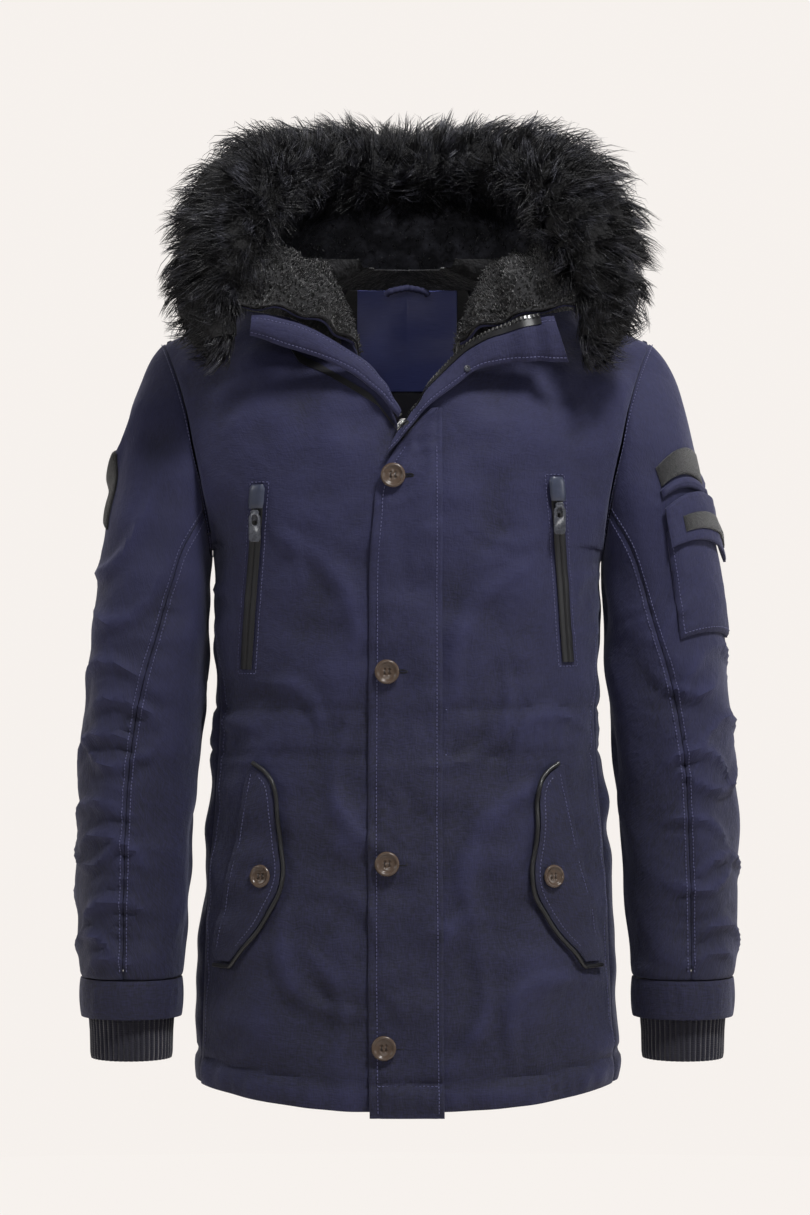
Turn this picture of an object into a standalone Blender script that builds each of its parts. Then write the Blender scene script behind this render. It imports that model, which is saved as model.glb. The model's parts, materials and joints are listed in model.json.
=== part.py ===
"""Fur trimmed parka, filled out as it is worn, with nobody in it.

The coat hangs from its shoulders.  X runs across it, with the wearer's left at +X, the front
faces -Y, and Z is up.  The origin is the middle of the neck, level with the back neck seam.
Every cloth piece is a wall made from a grid of points on the coat's own surfaces.
"""
import math

import bmesh
import bpy
import numpy as np

# Driving sizes, in metres
GAP = 0.0003
ARMHOLE_GAP = 0.0010
HOOD_SEAM = 0.0011
SIDE_GAP = 0.0012
SHELL = 0.004
HEM_THICK = 0.007
LINING = 0.0015
PLACKET_THICK = 0.0035
LIFT = 0.0016
FUR_CLEAR = 0.0062
MID_Y = 0.005
NECK_Z = -0.002
ZIP_HALF = 0.0060
SHOULDER_NECK_X = 0.078
SHOULDER_TIP_X = 0.234
SHOULDER_TIP_Z = -0.066
SHOULDER_ROUND = 0.13
ARMPIT_Z = -0.270
FULLNESS = 2.4
HEM_FRONT_Z = -0.787
HEM_SIDE_Z = -0.768
HEM_BACK_Z = -0.785
SEAM_TURN = math.radians(16)
FRONT_COLUMNS = 7
BACK_COLUMNS = 12
RING_STEPS = 10
FUR_SIDES = 10
CUFF_SIDES = 16
BUTTON_SIDES = 12
HOOD_SECTIONS = 11
HOOD_SEAM_SECTION = 6
UNDER_STEPS = 3
SLEEVE_FULLNESS = 2.2
CUFF_TOP_Z = -0.670
CUFF_BOTTOM_Z = -0.708
RIB_BOTTOM_Z = -0.748

# Height, half width, front depth, back depth of the body's cross-sections
BODY = np.array([
    (-0.800, 0.2030, 0.150, 0.150),
    (-0.700, 0.2015, 0.150, 0.150),
    (-0.600, 0.1970, 0.144, 0.147),
    (-0.500, 0.1895, 0.137, 0.136),
    (-0.420, 0.1850, 0.132, 0.126),
    (-0.340, 0.1845, 0.136, 0.126),
    (-0.270, 0.1870, 0.140, 0.132),
    (-0.230, 0.2000, 0.141, 0.136),
    (-0.170, 0.2230, 0.136, 0.137),
    (-0.110, 0.2400, 0.121, 0.126),
    (-0.050, 0.2460, 0.100, 0.106),
    (0.020, 0.2480, 0.080, 0.082),
])

# Height and side distance of the armhole seam
ARMHOLE = np.array([
    (-0.270, 0.1870), (-0.250, 0.1885), (-0.230, 0.1910), (-0.200, 0.1960), (-0.170, 0.2025),
    (-0.140, 0.2085), (-0.110, 0.2170), (-0.090, 0.2240), (-0.066, 0.2340),
])

# Heights of the rows below the armpit, from above the hem to the armpit
LOWER_ROWS = (-0.742, -0.660, -0.575, -0.500, -0.452, -0.415, -0.340, ARMPIT_Z)

# Side distance and height of the front's inner edge, from the armpit row up to the neck
NECK_EDGE = (
    (ZIP_HALF, -0.245), (ZIP_HALF, -0.215), (ZIP_HALF, -0.185), (ZIP_HALF, -0.158),
    (0.017, -0.130), (0.031, -0.106), (0.044, -0.084), (0.056, -0.062), (0.068, -0.034),
    (SHOULDER_NECK_X, NECK_Z),
)

# Height of the centre back in the rows above the armpit
BACK_RISE = (-0.240, -0.210, -0.180, -0.150, -0.120, -0.092, -0.066, -0.042, -0.020, NECK_Z)

# Outer side, height, inner side, height, half depth and middle of each ring down the sleeve
SLEEVE = np.array([
    (0.2340, -0.066, 0.1870, -0.270, 0.070, 0.005),
    (0.2480, -0.086, 0.1875, -0.285, 0.074, 0.005),
    (0.2620, -0.117, 0.1885, -0.303, 0.076, 0.004),
    (0.2735, -0.160, 0.1890, -0.325, 0.076, 0.003),
    (0.2850, -0.218, 0.1895, -0.352, 0.074, 0.001),
    (0.2960, -0.283, 0.1900, -0.383, 0.072, -0.002),
    (0.3040, -0.343, 0.1935, -0.415, 0.071, -0.004),
    (0.3090, -0.403, 0.1980, -0.452, 0.068, -0.006),
    (0.3130, -0.465, 0.2020, -0.492, 0.067, -0.009),
    (0.3150, -0.520, 0.2050, -0.532, 0.064, -0.013),
    (0.3150, -0.572, 0.2080, -0.576, 0.063, -0.018),
    (0.3135, -0.624, 0.2120, -0.624, 0.059, -0.024),
    (0.3115, CUFF_TOP_Z, 0.2135, CUFF_TOP_Z, 0.057, -0.029),
])
SEAM_FRONT = (126, 122, 117, 111, 105, 98, 92, 88, 86, 86, 86, 86, 86)
SEAM_BACK = (126, 124, 122, 120, 120, 120, 120, 120, 120, 120, 120, 120, 120)

# Hood sections on the wearer's right: neck seam, front wall, bag bottom, back wall, rim, reach
HOOD = np.array([
    (0.000, 0.070, 0.001, 0.000, 0.150, -0.110, 0.000, 0.186, -0.196, 0.000, 0.214, -0.070,
     0.000, 0.118, 0.112, 0.055),
    (0.038, 0.062, 0.001, 0.058, 0.147, -0.108, 0.063, 0.181, -0.184, 0.073, 0.207, -0.065,
     0.055, 0.108, 0.111, 0.055),
    (0.064, 0.042, 0.003, 0.108, 0.128, -0.078, 0.125, 0.158, -0.130, 0.140, 0.168, -0.040,
     0.098, 0.068, 0.107, 0.056),
    (0.076, 0.012, 0.005, 0.124, 0.062, -0.016, 0.160, 0.082, -0.044, 0.190, 0.076, 0.004,
     0.132, 0.015, 0.097, 0.058),
    (0.076, -0.030, -0.005, 0.118, -0.012, 0.002, 0.156, 0.000, -0.008, 0.192, -0.004, 0.012,
     0.150, -0.035, 0.082, 0.061),
    (0.070, -0.062, -0.024, 0.092, -0.054, -0.012, 0.108, -0.046, -0.006, 0.120, -0.040, 0.001,
     0.164, -0.078, 0.055, 0.063),
    (0.061, -0.094, -0.048, 0.078, -0.097, -0.034, 0.092, -0.098, -0.020, 0.104, -0.097, -0.006,
     0.176, -0.106, 0.012, 0.056),
    (0.050, -0.113, -0.0755, 0.072, -0.121, -0.062, 0.095, -0.126, -0.0525, 0.120, -0.127, -0.045,
     0.188, -0.118, -0.038, 0.041),
])

# Turned-back collar strips: inner edge x, y, z and outer edge x, y, z
WING_LEFT = np.array([
    (-0.0110, -0.1405, -0.1600, -0.0195, -0.1450, -0.1780),
    (0.0080, -0.1350, -0.1330, -0.0090, -0.1430, -0.1660),
    (0.0260, -0.1290, -0.1060, 0.0180, -0.1380, -0.1340),
    (0.0500, -0.1230, -0.0815, 0.0450, -0.1340, -0.1130),
    (0.0720, -0.1280, -0.0680, 0.0640, -0.1320, -0.1000),
    (0.0900, -0.1320, -0.0600, 0.0830, -0.1310, -0.0950),
    (0.1120, -0.1340, -0.0530, 0.1160, -0.1310, -0.0920),
    (0.1360, -0.1350, -0.0490, 0.1500, -0.1310, -0.0930),
])
WING_RIGHT = np.array([
    (0.0050, -0.1330, -0.1370, 0.0075, -0.1345, -0.1430),
    (0.0240, -0.1290, -0.1050, 0.0240, -0.1345, -0.1240),
    (0.0500, -0.1230, -0.0815, 0.0520, -0.1300, -0.1020),
    (0.0880, -0.1320, -0.0610, 0.0810, -0.1320, -0.0890),
    (0.1220, -0.1350, -0.0500, 0.1220, -0.1330, -0.0760),
    (0.1440, -0.1360, -0.0480, 0.1460, -0.1340, -0.0680),
])

# Height, free edge and seam edge of the placket
PLACKET = (
    (-0.7925, -0.0345, 0.0345), (-0.700, -0.0355, 0.0335), (-0.600, -0.0360, 0.0330),
    (-0.500, -0.0360, 0.0325), (-0.420, -0.0358, 0.0325), (-0.340, -0.0350, 0.0325),
    (-0.280, -0.0345, 0.0325), (-0.235, -0.0310, 0.0325), (-0.208, -0.0285, 0.0325),
    (-0.188, -0.0200, 0.0325), (-0.170, -0.0090, 0.0325), (-0.152, 0.0060, 0.0325),
    (-0.136, 0.0220, 0.0325),
)

# Height, sewn edge and free edge of the hand-pocket flaps
POCKET_FLAP = (
    (-0.468, 0.1450, 0.1418), (-0.476, 0.1462, 0.1318), (-0.488, 0.1488, 0.1238),
    (-0.514, 0.1538, 0.1215), (-0.540, 0.1590, 0.1205), (-0.566, 0.1645, 0.1172),
    (-0.584, 0.1680, 0.1198), (-0.604, 0.1725, 0.1300), (-0.622, 0.1770, 0.1410),
    (-0.640, 0.1815, 0.1555), (-0.652, 0.1790, 0.1655),
)
FLAP_BUTTON = (0.1330, -0.571)
FRONT_BUTTONS = (-0.198, -0.379, -0.558, -0.727)
BUTTON_X = (-0.0130, -0.0185, -0.0185, -0.0213)
BUTTON_RADIUS = 0.0115
FLAP_BUTTON_RADIUS = 0.0108

# Chest zip: top and bottom of the slot, and the height of its left copy above the right one
CHEST_TOP = (0.1378, -0.207)
CHEST_BOTTOM = (0.1505, -0.378)
CHEST_LEFT_RISE = 0.007
CHEST_HALF = 0.0055
PULL_LENGTH = 0.026
PULL_WIDTH = 0.0110
WING_FACING = (0.0, -1.0, 0.15)

# Sleeve patches and pocket: ring number down the sleeve and angle from the outer side, degrees
PATCH_RIGHT = ((3.15, 4.35), (-14, 26))
PATCH_LEFT = ((2.65, 3.18), (20, 76))
WELT_LEFT = ((3.22, 3.42), (20, 78))
BAG_LEFT = ((3.82, 5.82), (12, 80))
FLAP_LEFT = ((3.60, 4.40), (5, 79))
FLAP_PATCH_LEFT = ((4.02, 4.30), (7, 66))
# Rows that each piece of the left sleeve falls by for each radian round to the front
WELT_SLANT = -1.1
FLAP_SLANT = -0.8
BAG_SLANT = -0.45


def spline(values, knots, heights):
    """Smooth curve through the rows of a table, with each row's slope taken from its neighbours."""
    knots = np.asarray(knots, float)
    heights = np.asarray(heights, float)
    values = np.clip(np.asarray(values, float), knots[0], knots[-1])
    slopes = np.gradient(heights, knots)
    cell = np.clip(np.searchsorted(knots, values) - 1, 0, len(knots) - 2)
    step = knots[cell + 1] - knots[cell]
    t = (values - knots[cell]) / step
    start = (1 + 2 * t) * (1 - t) ** 2 * heights[cell] + t * (1 - t) ** 2 * step * slopes[cell]
    end = t * t * (3 - 2 * t) * heights[cell + 1] - t * t * (1 - t) * step * slopes[cell + 1]
    return start + end


def unit(vectors):
    """The vectors at length 1."""
    return vectors / np.maximum(np.linalg.norm(vectors, axis=-1, keepdims=True), 1e-12)


def finish(name, colour, roughness, metallic=0.0):
    """Plain material of one finish."""
    made = bpy.data.materials.get(name) or bpy.data.materials.new(name)
    made.use_nodes = True
    shader = made.node_tree.nodes["Principled BSDF"]
    shader.inputs["Base Color"].default_value = (*colour, 1.0)
    shader.inputs["Roughness"].default_value = roughness
    shader.inputs["Metallic"].default_value = metallic
    return made


def shell_cloth():
    """Navy cotton outer cloth."""
    return finish("shell_cloth", (0.030, 0.032, 0.075), 0.85)


def rib_knit():
    """Dark navy knitted rib."""
    return finish("rib_knit", (0.012, 0.012, 0.030), 0.9)


def satin():
    """Navy satin facing."""
    return finish("satin", (0.022, 0.030, 0.085), 0.45)


def lining_cloth():
    """Dark grey lining."""
    return finish("lining_cloth", (0.018, 0.018, 0.022), 0.6)


def long_fur():
    """Long black fur."""
    return finish("long_fur", (0.006, 0.006, 0.008), 0.6)


def plush():
    """Short black pile."""
    return finish("plush", (0.005, 0.005, 0.006), 0.8)


def black_tape():
    """Black zip tape and hook-and-loop tape."""
    return finish("black_tape", (0.012, 0.012, 0.013), 0.7)


def leather():
    """Black leather piping."""
    return finish("leather", (0.010, 0.010, 0.012), 0.4)


def steel():
    """Bright zip metal."""
    return finish("steel", (0.55, 0.55, 0.56), 0.3, 1.0)


def dark_metal():
    """Black enamelled zip metal."""
    return finish("dark_metal", (0.03, 0.03, 0.035), 0.3, 0.8)


def rubber():
    """Blue-grey moulded rubber."""
    return finish("rubber", (0.045, 0.055, 0.085), 0.3)


def horn():
    """Brown horn."""
    return finish("horn", (0.060, 0.040, 0.028), 0.3)


def place(name, corners, faces, material):
    """Make one closed body with its faces outward."""
    mesh = bpy.data.meshes.new(name)
    mesh.from_pydata([tuple(map(float, corner)) for corner in corners], [], faces)
    shape = bmesh.new()
    shape.from_mesh(mesh)
    bmesh.ops.recalc_face_normals(shape, faces=shape.faces)
    if shape.calc_volume(signed=True) < 0:
        bmesh.ops.reverse_faces(shape, faces=shape.faces)
    shape.to_mesh(mesh)
    shape.free()
    mesh.shade_smooth()
    mesh.set_sharp_from_angle(angle=math.radians(40))
    mesh.materials.append(material)
    made = bpy.data.objects.new(name, mesh)
    bpy.context.scene.collection.objects.link(made)
    return made


def grid_normals(points, ring=False):
    """Normal of a grid at each point, from its neighbours along the rows and the columns."""
    along = np.gradient(points, axis=0)
    if ring:
        across = np.roll(points, -1, axis=1) - np.roll(points, 1, axis=1)
    else:
        across = np.gradient(points, axis=1)
    return unit(np.cross(along, across))


def wall(name, points, thickness, material, axis=(0.0, 0.0), normals=None, ring=False):
    """Cloth wall: the grid is its outer face, and its inner face lies a thickness behind it.

    Without normals given, outward is away from an upright axis at the X and Y given.
    """
    rows, columns = points.shape[:2]
    if normals is None:
        normals = grid_normals(points, ring)
        away = points[..., :2] - axis
        if np.sum(normals[..., :2] * away) < 0:
            normals = -normals
    depth = np.broadcast_to(np.asarray(thickness, float).reshape(-1, 1, 1), (rows, columns, 1))
    inner = points - normals * depth
    corners = np.concatenate((points.reshape(-1, 3), inner.reshape(-1, 3)))
    back = rows * columns
    faces = []
    span = columns if ring else columns - 1

    def strip(first, second):
        faces.append((first, second, back + second))
        faces.append((first, back + second, back + first))

    for row in range(rows - 1):
        for column in range(span):
            after = (column + 1) % columns
            low = row * columns
            high = low + columns
            for one in ((low + column, low + after, high + after),
                        (low + column, high + after, high + column)):
                faces.append(one)
                faces.append(tuple(back + corner for corner in reversed(one)))
    for column in range(span):
        after = (column + 1) % columns
        strip(after, column)
        strip((rows - 1) * columns + column, (rows - 1) * columns + after)
    if not ring:
        for row in range(rows - 1):
            strip(row * columns, (row + 1) * columns)
            strip((row + 2) * columns - 1, (row + 1) * columns - 1)
    return place(name, corners, faces, material)


def tube(name, path, radii, material, steps=12):
    """Closed tube of round sections square to a path."""
    path = np.asarray(path, float)
    radii = np.broadcast_to(radii, len(path))
    ahead = unit(np.gradient(path, axis=0))
    frames = []
    sideways = unit(np.cross(ahead[0], (0.3, 0.2, 0.93)))
    for direction in ahead:
        sideways = unit(sideways - direction * np.dot(sideways, direction))
        frames.append((sideways, np.cross(direction, sideways)))
    turns = np.arange(steps) * 2 * math.pi / steps
    corners = []
    for centre, radius, (first, second) in zip(path, radii, frames):
        for turn in turns:
            corners.append(centre + radius * (math.cos(turn) * first + math.sin(turn) * second))
    faces = []
    for ring in range(len(path) - 1):
        for step in range(steps):
            after = (step + 1) % steps
            faces.append((ring * steps + step, ring * steps + after,
                          (ring + 1) * steps + after, (ring + 1) * steps + step))
    faces.append(tuple(range(steps)))
    faces.append(tuple(reversed(range((len(path) - 1) * steps, len(path) * steps))))
    return place(name, corners, faces, material)


def ridge(x):
    """Height of the shoulder line at a side distance."""
    slope = (SHOULDER_TIP_Z - NECK_Z) / (SHOULDER_TIP_X - SHOULDER_NECK_X)
    return NECK_Z + slope * (np.abs(x) - SHOULDER_NECK_X)


def body_at(turn, z):
    """Body surface at an angle round from the centre front and a height."""
    turn = np.asarray(turn, float)
    z = np.asarray(z, float)
    width = spline(z, BODY[:, 0], BODY[:, 1])
    front = spline(z, BODY[:, 0], BODY[:, 2])
    back = spline(z, BODY[:, 0], BODY[:, 3])
    power = 2 / FULLNESS
    x = width * np.sign(np.sin(turn)) * np.abs(np.sin(turn)) ** power
    drop = np.clip((ridge(x) - z) / SHOULDER_ROUND, 0, 1)
    top = np.sqrt(1 - (1 - drop) ** 2)
    reach = np.abs(np.cos(turn)) ** power * top
    y = MID_Y + np.where(np.cos(turn) > 0, -front, back) * reach
    return np.stack(np.broadcast_arrays(x, y, z), axis=-1)


def turn_for(x, z):
    """Angle from the centre at which the body is a side distance wide."""
    width = spline(z, BODY[:, 0], BODY[:, 1])
    ratio = np.clip(np.abs(x) / width, 0, 1)
    return np.sign(x) * np.arcsin(ratio ** (FULLNESS / 2))


def normal_of(surface, first, second, step):
    """Outward normal of a surface function, from small steps in its two values."""
    across = surface(first + step[0], second) - surface(first - step[0], second)
    along = surface(first, second + step[1]) - surface(first, second - step[1])
    return unit(np.cross(across, along))


def on_body(x, z, lift, behind=False):
    """Point on the front or the back at a side distance and height, lifted out of the cloth."""
    x = np.asarray(x, float)
    z = np.asarray(z, float)

    def surface(across, height):
        turn = turn_for(across, height)
        return body_at(math.pi - turn if behind else turn, height)

    normal = normal_of(surface, x, z, (0.002, 0.002)) * (-1 if behind else 1)
    return surface(x, z) + normal * np.asarray(lift)[..., None]


def on_front(x, z, lift):
    """Point on the front at a side distance and height, moved out of the cloth by a lift."""
    return on_body(x, z, lift)


def hem_height(turn):
    """Height of the bottom edge at an angle round from the centre front."""
    bulge = np.cos(turn) ** 2
    centre = np.where(np.cos(turn) > 0, HEM_FRONT_Z, HEM_BACK_Z)
    return HEM_SIDE_Z + (centre - HEM_SIDE_Z) * bulge


def armhole(angle):
    """Armhole seam at an angle from its top, plus to the front and minus to the back."""
    z = SHOULDER_TIP_Z + (ARMPIT_Z - SHOULDER_TIP_Z) * (1 - np.cos(angle)) / 2
    x = spline(z, ARMHOLE[:, 0], ARMHOLE[:, 1])
    turn = turn_for(x, z)
    turn = np.where(np.sin(angle) >= 0, turn, math.pi - turn)
    return body_at(turn, z)


def sleeve_at(row, angle):
    """Left sleeve surface at a ring number and an angle from the outer side, plus to the front."""
    row = np.asarray(row, float)
    angle = np.asarray(angle, float)
    numbers = np.arange(len(SLEEVE))

    def ring(place_down):
        outer_x, outer_z, inner_x, inner_z, depth, middle = (
            spline(place_down, numbers, SLEEVE[:, column]) for column in range(6))
        power = 2 / SLEEVE_FULLNESS
        out = np.sign(np.cos(angle)) * np.abs(np.cos(angle)) ** power
        fore = np.sign(np.sin(angle)) * np.abs(np.sin(angle)) ** power
        x = (outer_x + inner_x) / 2 + out * (outer_x - inner_x) / 2
        z = (outer_z + inner_z) / 2 + out * (outer_z - inner_z) / 2
        return np.stack(np.broadcast_arrays(x, middle - fore * depth, z), axis=-1)

    fade = np.clip(1 - row / 3, 0, 1)
    fade = fade * fade * (3 - 2 * fade)
    return ring(row) + fade[..., None] * (armhole(angle) - ring(np.zeros_like(row)))


def sleeve_normal(row, angle):
    """Outward normal of the left sleeve."""
    row = np.asarray(row, float)
    angle = np.asarray(angle, float)
    ahead = sleeve_at(np.minimum(row + 0.05, len(SLEEVE) - 1), angle)
    along = ahead - sleeve_at(np.maximum(row - 0.05, 0), angle)
    across = sleeve_at(row, angle + 0.03) - sleeve_at(row, angle - 0.03)
    return unit(np.cross(across, along))


def armhole_normal(angle):
    """Normal shared by the body and the sleeve along the armhole seam."""
    centre = np.array((0.08, 0.0, -0.17))
    outward = unit(armhole(angle) - centre)
    arm = sleeve_normal(np.zeros_like(angle), angle)
    return unit(outward * (1, 1, 0.4) + arm)


def mirrored(points):
    """The same points on the wearer's right."""
    return points * (-1, 1, 1)


def side_turn(z):
    """Angle of the side seam, which moves to the front below the armpit."""
    ease = np.clip((ARMPIT_Z - z) / 0.15, 0, 1)
    return math.pi / 2 - SEAM_TURN * ease


def ring_angles():
    """Angles of the armhole's points, from the armpit up to the shoulder."""
    return math.pi * (1 - np.arange(1, RING_STEPS + 1) / RING_STEPS)


def thicknesses(rows):
    """Thickness of each row of a body panel, with the turned hem thicker."""
    values = np.full(rows, SHELL)
    values[0] = HEM_THICK
    values[1] = HEM_THICK * 0.8
    return values


def front_grid():
    """Left front: rows from hem to shoulder, columns from the zip to the side."""
    share = np.linspace(0, 1, FRONT_COLUMNS + 1)
    rows = []
    start = turn_for(ZIP_HALF, HEM_FRONT_Z)
    turns = start + (side_turn(HEM_SIDE_Z) - SIDE_GAP - start) * share
    rows.append(body_at(turns, hem_height(turns)))
    for z in LOWER_ROWS:
        start = turn_for(ZIP_HALF, z)
        rows.append(body_at(start + (side_turn(z) - SIDE_GAP - start) * share, z))
    for (x, z), angle in zip(NECK_EDGE, ring_angles()):
        edge = armhole(angle)
        across = x + (edge[0] - x) * np.sin(share * math.pi / 2)
        height = z + (edge[2] - z) * (across - x) / (edge[0] - x)
        if z == NECK_Z:
            height = ridge(across)
        rows.append(body_at(turn_for(across, height), height))
    points = np.array(rows)
    points[-1, :, 1] -= GAP / 2
    return points


def back_grid():
    """Back: rows from hem to neck, columns from the wearer's right side to the left."""
    share = np.linspace(-1, 1, BACK_COLUMNS + 1)
    rows = []
    reach = math.pi - side_turn(HEM_SIDE_Z) - SIDE_GAP
    turns = math.pi - reach * share
    rows.append(body_at(turns, hem_height(turns)))
    for z in LOWER_ROWS:
        reach = math.pi - side_turn(z) - SIDE_GAP
        rows.append(body_at(math.pi - reach * share, z))
    for centre, angle in zip(BACK_RISE, ring_angles()):
        edge = armhole(-angle - 1e-9)
        across = edge[0] * np.sign(share) * np.sin(np.abs(share) * math.pi / 2)
        slant = centre + (edge[2] - centre) * np.abs(across) / edge[0]
        neck = np.minimum(ridge(across), centre)
        blend = np.clip((centre - ARMPIT_Z) / (NECK_Z - ARMPIT_Z), 0, 1) ** 2
        height = slant * (1 - blend) + neck * blend
        turns = math.pi - turn_for(across, height)
        rows.append(body_at(turns, height))
    points = np.array(rows)
    points[-1, :, 1] += GAP / 2
    return points


def body_normals(points, side, edges):
    """Grid normals, with the shoulder line and the armhole shared with the next pieces."""
    normals = side * grid_normals(points)
    top = np.stack((0.38 * np.sign(points[-1, :, 0]), np.zeros(points.shape[1]),
                    np.full(points.shape[1], 0.925)), axis=-1)
    on_shoulder = np.abs(points[-1, :, 0]) > SHOULDER_NECK_X - 0.004
    normals[-1, on_shoulder] = unit(top[on_shoulder])
    angles = ring_angles()
    for column, sign in edges:
        heights = points[:-RING_STEPS, column, 2]
        seam = normal_of(body_at, side_turn(heights), heights, (0.02, 0.002))
        shared = np.concatenate((seam, armhole_normal(sign * angles)))
        if points[0, column, 0] < 0:
            shared = mirrored(shared)
        normals[:, column] = shared
    return unit(normals)


def fronts():
    """The two fronts."""
    points = front_grid()
    normals = body_normals(points, -1, ((-1, 1),))
    depth = thicknesses(len(points))
    wall("front_left", points, depth, shell_cloth(), normals=normals)
    wall("front_right", mirrored(points), depth, shell_cloth(), normals=mirrored(normals))


def back():
    """The back, cut in one, wrapping to the side seams."""
    points = back_grid()
    normals = body_normals(points, 1, ((0, -1), (-1, -1)))
    wall("back", points, thicknesses(len(points)), shell_cloth(), normals=normals)


def sleeve_piece(name, first, last, steps, left):
    """One sleeve piece between two seams, from the armhole to the cuff."""
    rows = np.arange(len(SLEEVE), dtype=float)
    turns = np.radians(first)[:, None] + np.radians(np.subtract(last, first))[:, None] * (
        np.linspace(0, 1, steps + 1))
    grid = sleeve_at(rows[:, None] + 0 * turns, turns)
    normals = sleeve_normal(rows[:, None] + 0 * turns, turns)
    normals[0] = armhole_normal(turns[0])
    grid[0] += ARMHOLE_GAP * unit(grid[1] - grid[0])
    if not left:
        grid = mirrored(grid)
        normals = mirrored(normals)
    wall(name, grid, SHELL, shell_cloth(), normals=normals)


def sleeves():
    """Upper and under sleeve on both sides, parted by 0.3 mm at their seams."""
    part = 0.35
    front = np.array(SEAM_FRONT, float)
    behind = -np.array(SEAM_BACK, float)
    for left, side in ((True, "left"), (False, "right")):
        upper_steps = 2 * (RING_STEPS - UNDER_STEPS)
        sleeve_piece("sleeve_upper_" + side, behind + part, front - part, upper_steps, left)
        sleeve_piece("sleeve_under_" + side, front + part, 360 + behind - part,
                     2 * UNDER_STEPS, left)


def cuff_ring(z, scale, turns):
    """Ring of a cuff at a height, a share of the sleeve's end."""
    outer_x, inner_x, depth, middle = SLEEVE[-1, (0, 2, 4, 5)]
    x = (outer_x + inner_x) / 2 + np.cos(turns) * (outer_x - inner_x) / 2 * scale
    y = middle - 0.0005 * (CUFF_TOP_Z - z) - np.sin(turns) * depth * scale
    return np.stack((x, y, np.full_like(turns, z)), axis=-1)


def cuffs():
    """Turned cuff bands and the knitted ribs inside them."""
    turns = np.arange(CUFF_SIDES) * 2 * math.pi / CUFF_SIDES
    band_rows = ((CUFF_TOP_Z - 0.0012, 1.0), (CUFF_TOP_Z - 0.006, 1.02), (-0.696, 1.01),
                 (CUFF_BOTTOM_Z, 0.975))
    rib_rows = ((-0.690, 0.890), (-0.704, 0.835), (-0.722, 0.803), (RIB_BOTTOM_Z, 0.79))
    for side, sign in (("left", 1), ("right", -1)):
        band = np.array([cuff_ring(z, scale, turns) for z, scale in band_rows])
        rib = np.array([cuff_ring(z, scale, turns) for z, scale in rib_rows])
        axis = (sign * (SLEEVE[-1, 0] + SLEEVE[-1, 2]) / 2, SLEEVE[-1, 5])
        wall("cuff_band_" + side, band * (sign, 1, 1), 0.0045, shell_cloth(), axis, ring=True)
        wall("rib_cuff_" + side, rib * (sign, 1, 1), 0.0025, rib_knit(), axis, ring=True)


def placket():
    """Storm flap over the zip, from the hem up under the turned-back collar."""
    share = np.linspace(0, 1, 4)
    table = np.array(PLACKET)
    x = table[:, 1:2] + (table[:, 2:3] - table[:, 1:2]) * share
    z = np.broadcast_to(table[:, 0:1], x.shape)
    points = on_front(x, z, np.full(x.shape, LIFT + PLACKET_THICK))
    wall("placket", points, PLACKET_THICK, shell_cloth())


def wing(name, table, thickness, left):
    """Strip of the collar turned back over the front, bowed outward between its edges."""
    share = np.linspace(0, 1, 4)[None, :, None]
    inner = table[:, None, :3]
    outer = table[:, None, 3:]
    reach = np.linspace(0, 1, len(table))[:, None, None]
    points = inner + (outer - inner) * share
    points = points + np.sin(share * math.pi) * reach * (0.0, -0.004, 0.0)
    if not left:
        points = mirrored(points)
    toward_front = np.broadcast_to(unit(np.array(WING_FACING)), points.shape)
    wall(name, points, thickness, shell_cloth(), normals=toward_front)


def wings():
    """The two collar strips."""
    wing("collar_wing_left", WING_LEFT, 0.003, True)
    wing("collar_wing_right", WING_RIGHT, 0.003, False)


def hood_section(row):
    """Curve of one hood section, from the neck seam round the bag to the fur."""
    points = row[:15].reshape(5, 3)
    neck, fore, bottom, behind, rim = points
    toward = unit(behind - rim)
    end = rim + toward * (row[15] + FUR_CLEAR)
    control = np.array((neck, fore, bottom, behind, end))
    along = np.concatenate(((0,), np.cumsum(np.linalg.norm(np.diff(control, axis=0), axis=1))))
    share = np.linspace(0, along[-1], 9)
    return np.stack([spline(share, along, control[:, axis]) for axis in range(3)], axis=-1)


def hood_grid():
    """Right half of the hood: a section in each column, from centre back to the front end."""
    numbers = np.arange(len(HOOD))
    fine = np.linspace(0, len(HOOD) - 1, HOOD_SECTIONS)
    rows = np.stack([spline(fine, numbers, HOOD[:, column]) for column in range(16)], axis=-1)
    return np.array([hood_section(row) for row in rows]).transpose(1, 0, 2)


def hood():
    """Hood cloth in a centre and two sides, and its pile lining in three parts."""
    half = hood_grid() * (-1, 1, 1)
    whole = np.concatenate((half[:, ::-1], mirrored(half)[:, 1:]), axis=1)
    middle = HOOD_SECTIONS - 1
    last = 2 * middle
    normals = grid_normals(whole)
    if normals[4, middle, 2] > 0:
        normals = -normals
    cloth = 0.003
    pile = 0.004
    inside = whole - normals * (cloth + GAP)
    seam = HOOD_SEAM_SECTION
    parts = (("right", 0, seam), ("back", seam, last - seam), ("left", last - seam, last))
    for side, start, end in parts:
        shared = normals[:, start:end + 1]
        for grid, name, thickness, material in (
                (whole, "hood_", cloth, shell_cloth()),
                (inside, "hood_lining_", pile, plush())):
            piece = grid[:, start:end + 1].copy()
            if start > 0:
                piece[:, 0] += HOOD_SEAM * unit(piece[:, 1] - piece[:, 0])
            if end < last:
                piece[:, -1] += HOOD_SEAM * unit(piece[:, -2] - piece[:, -1])
            wall(name + side, piece, thickness, material, normals=shared)


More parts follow.
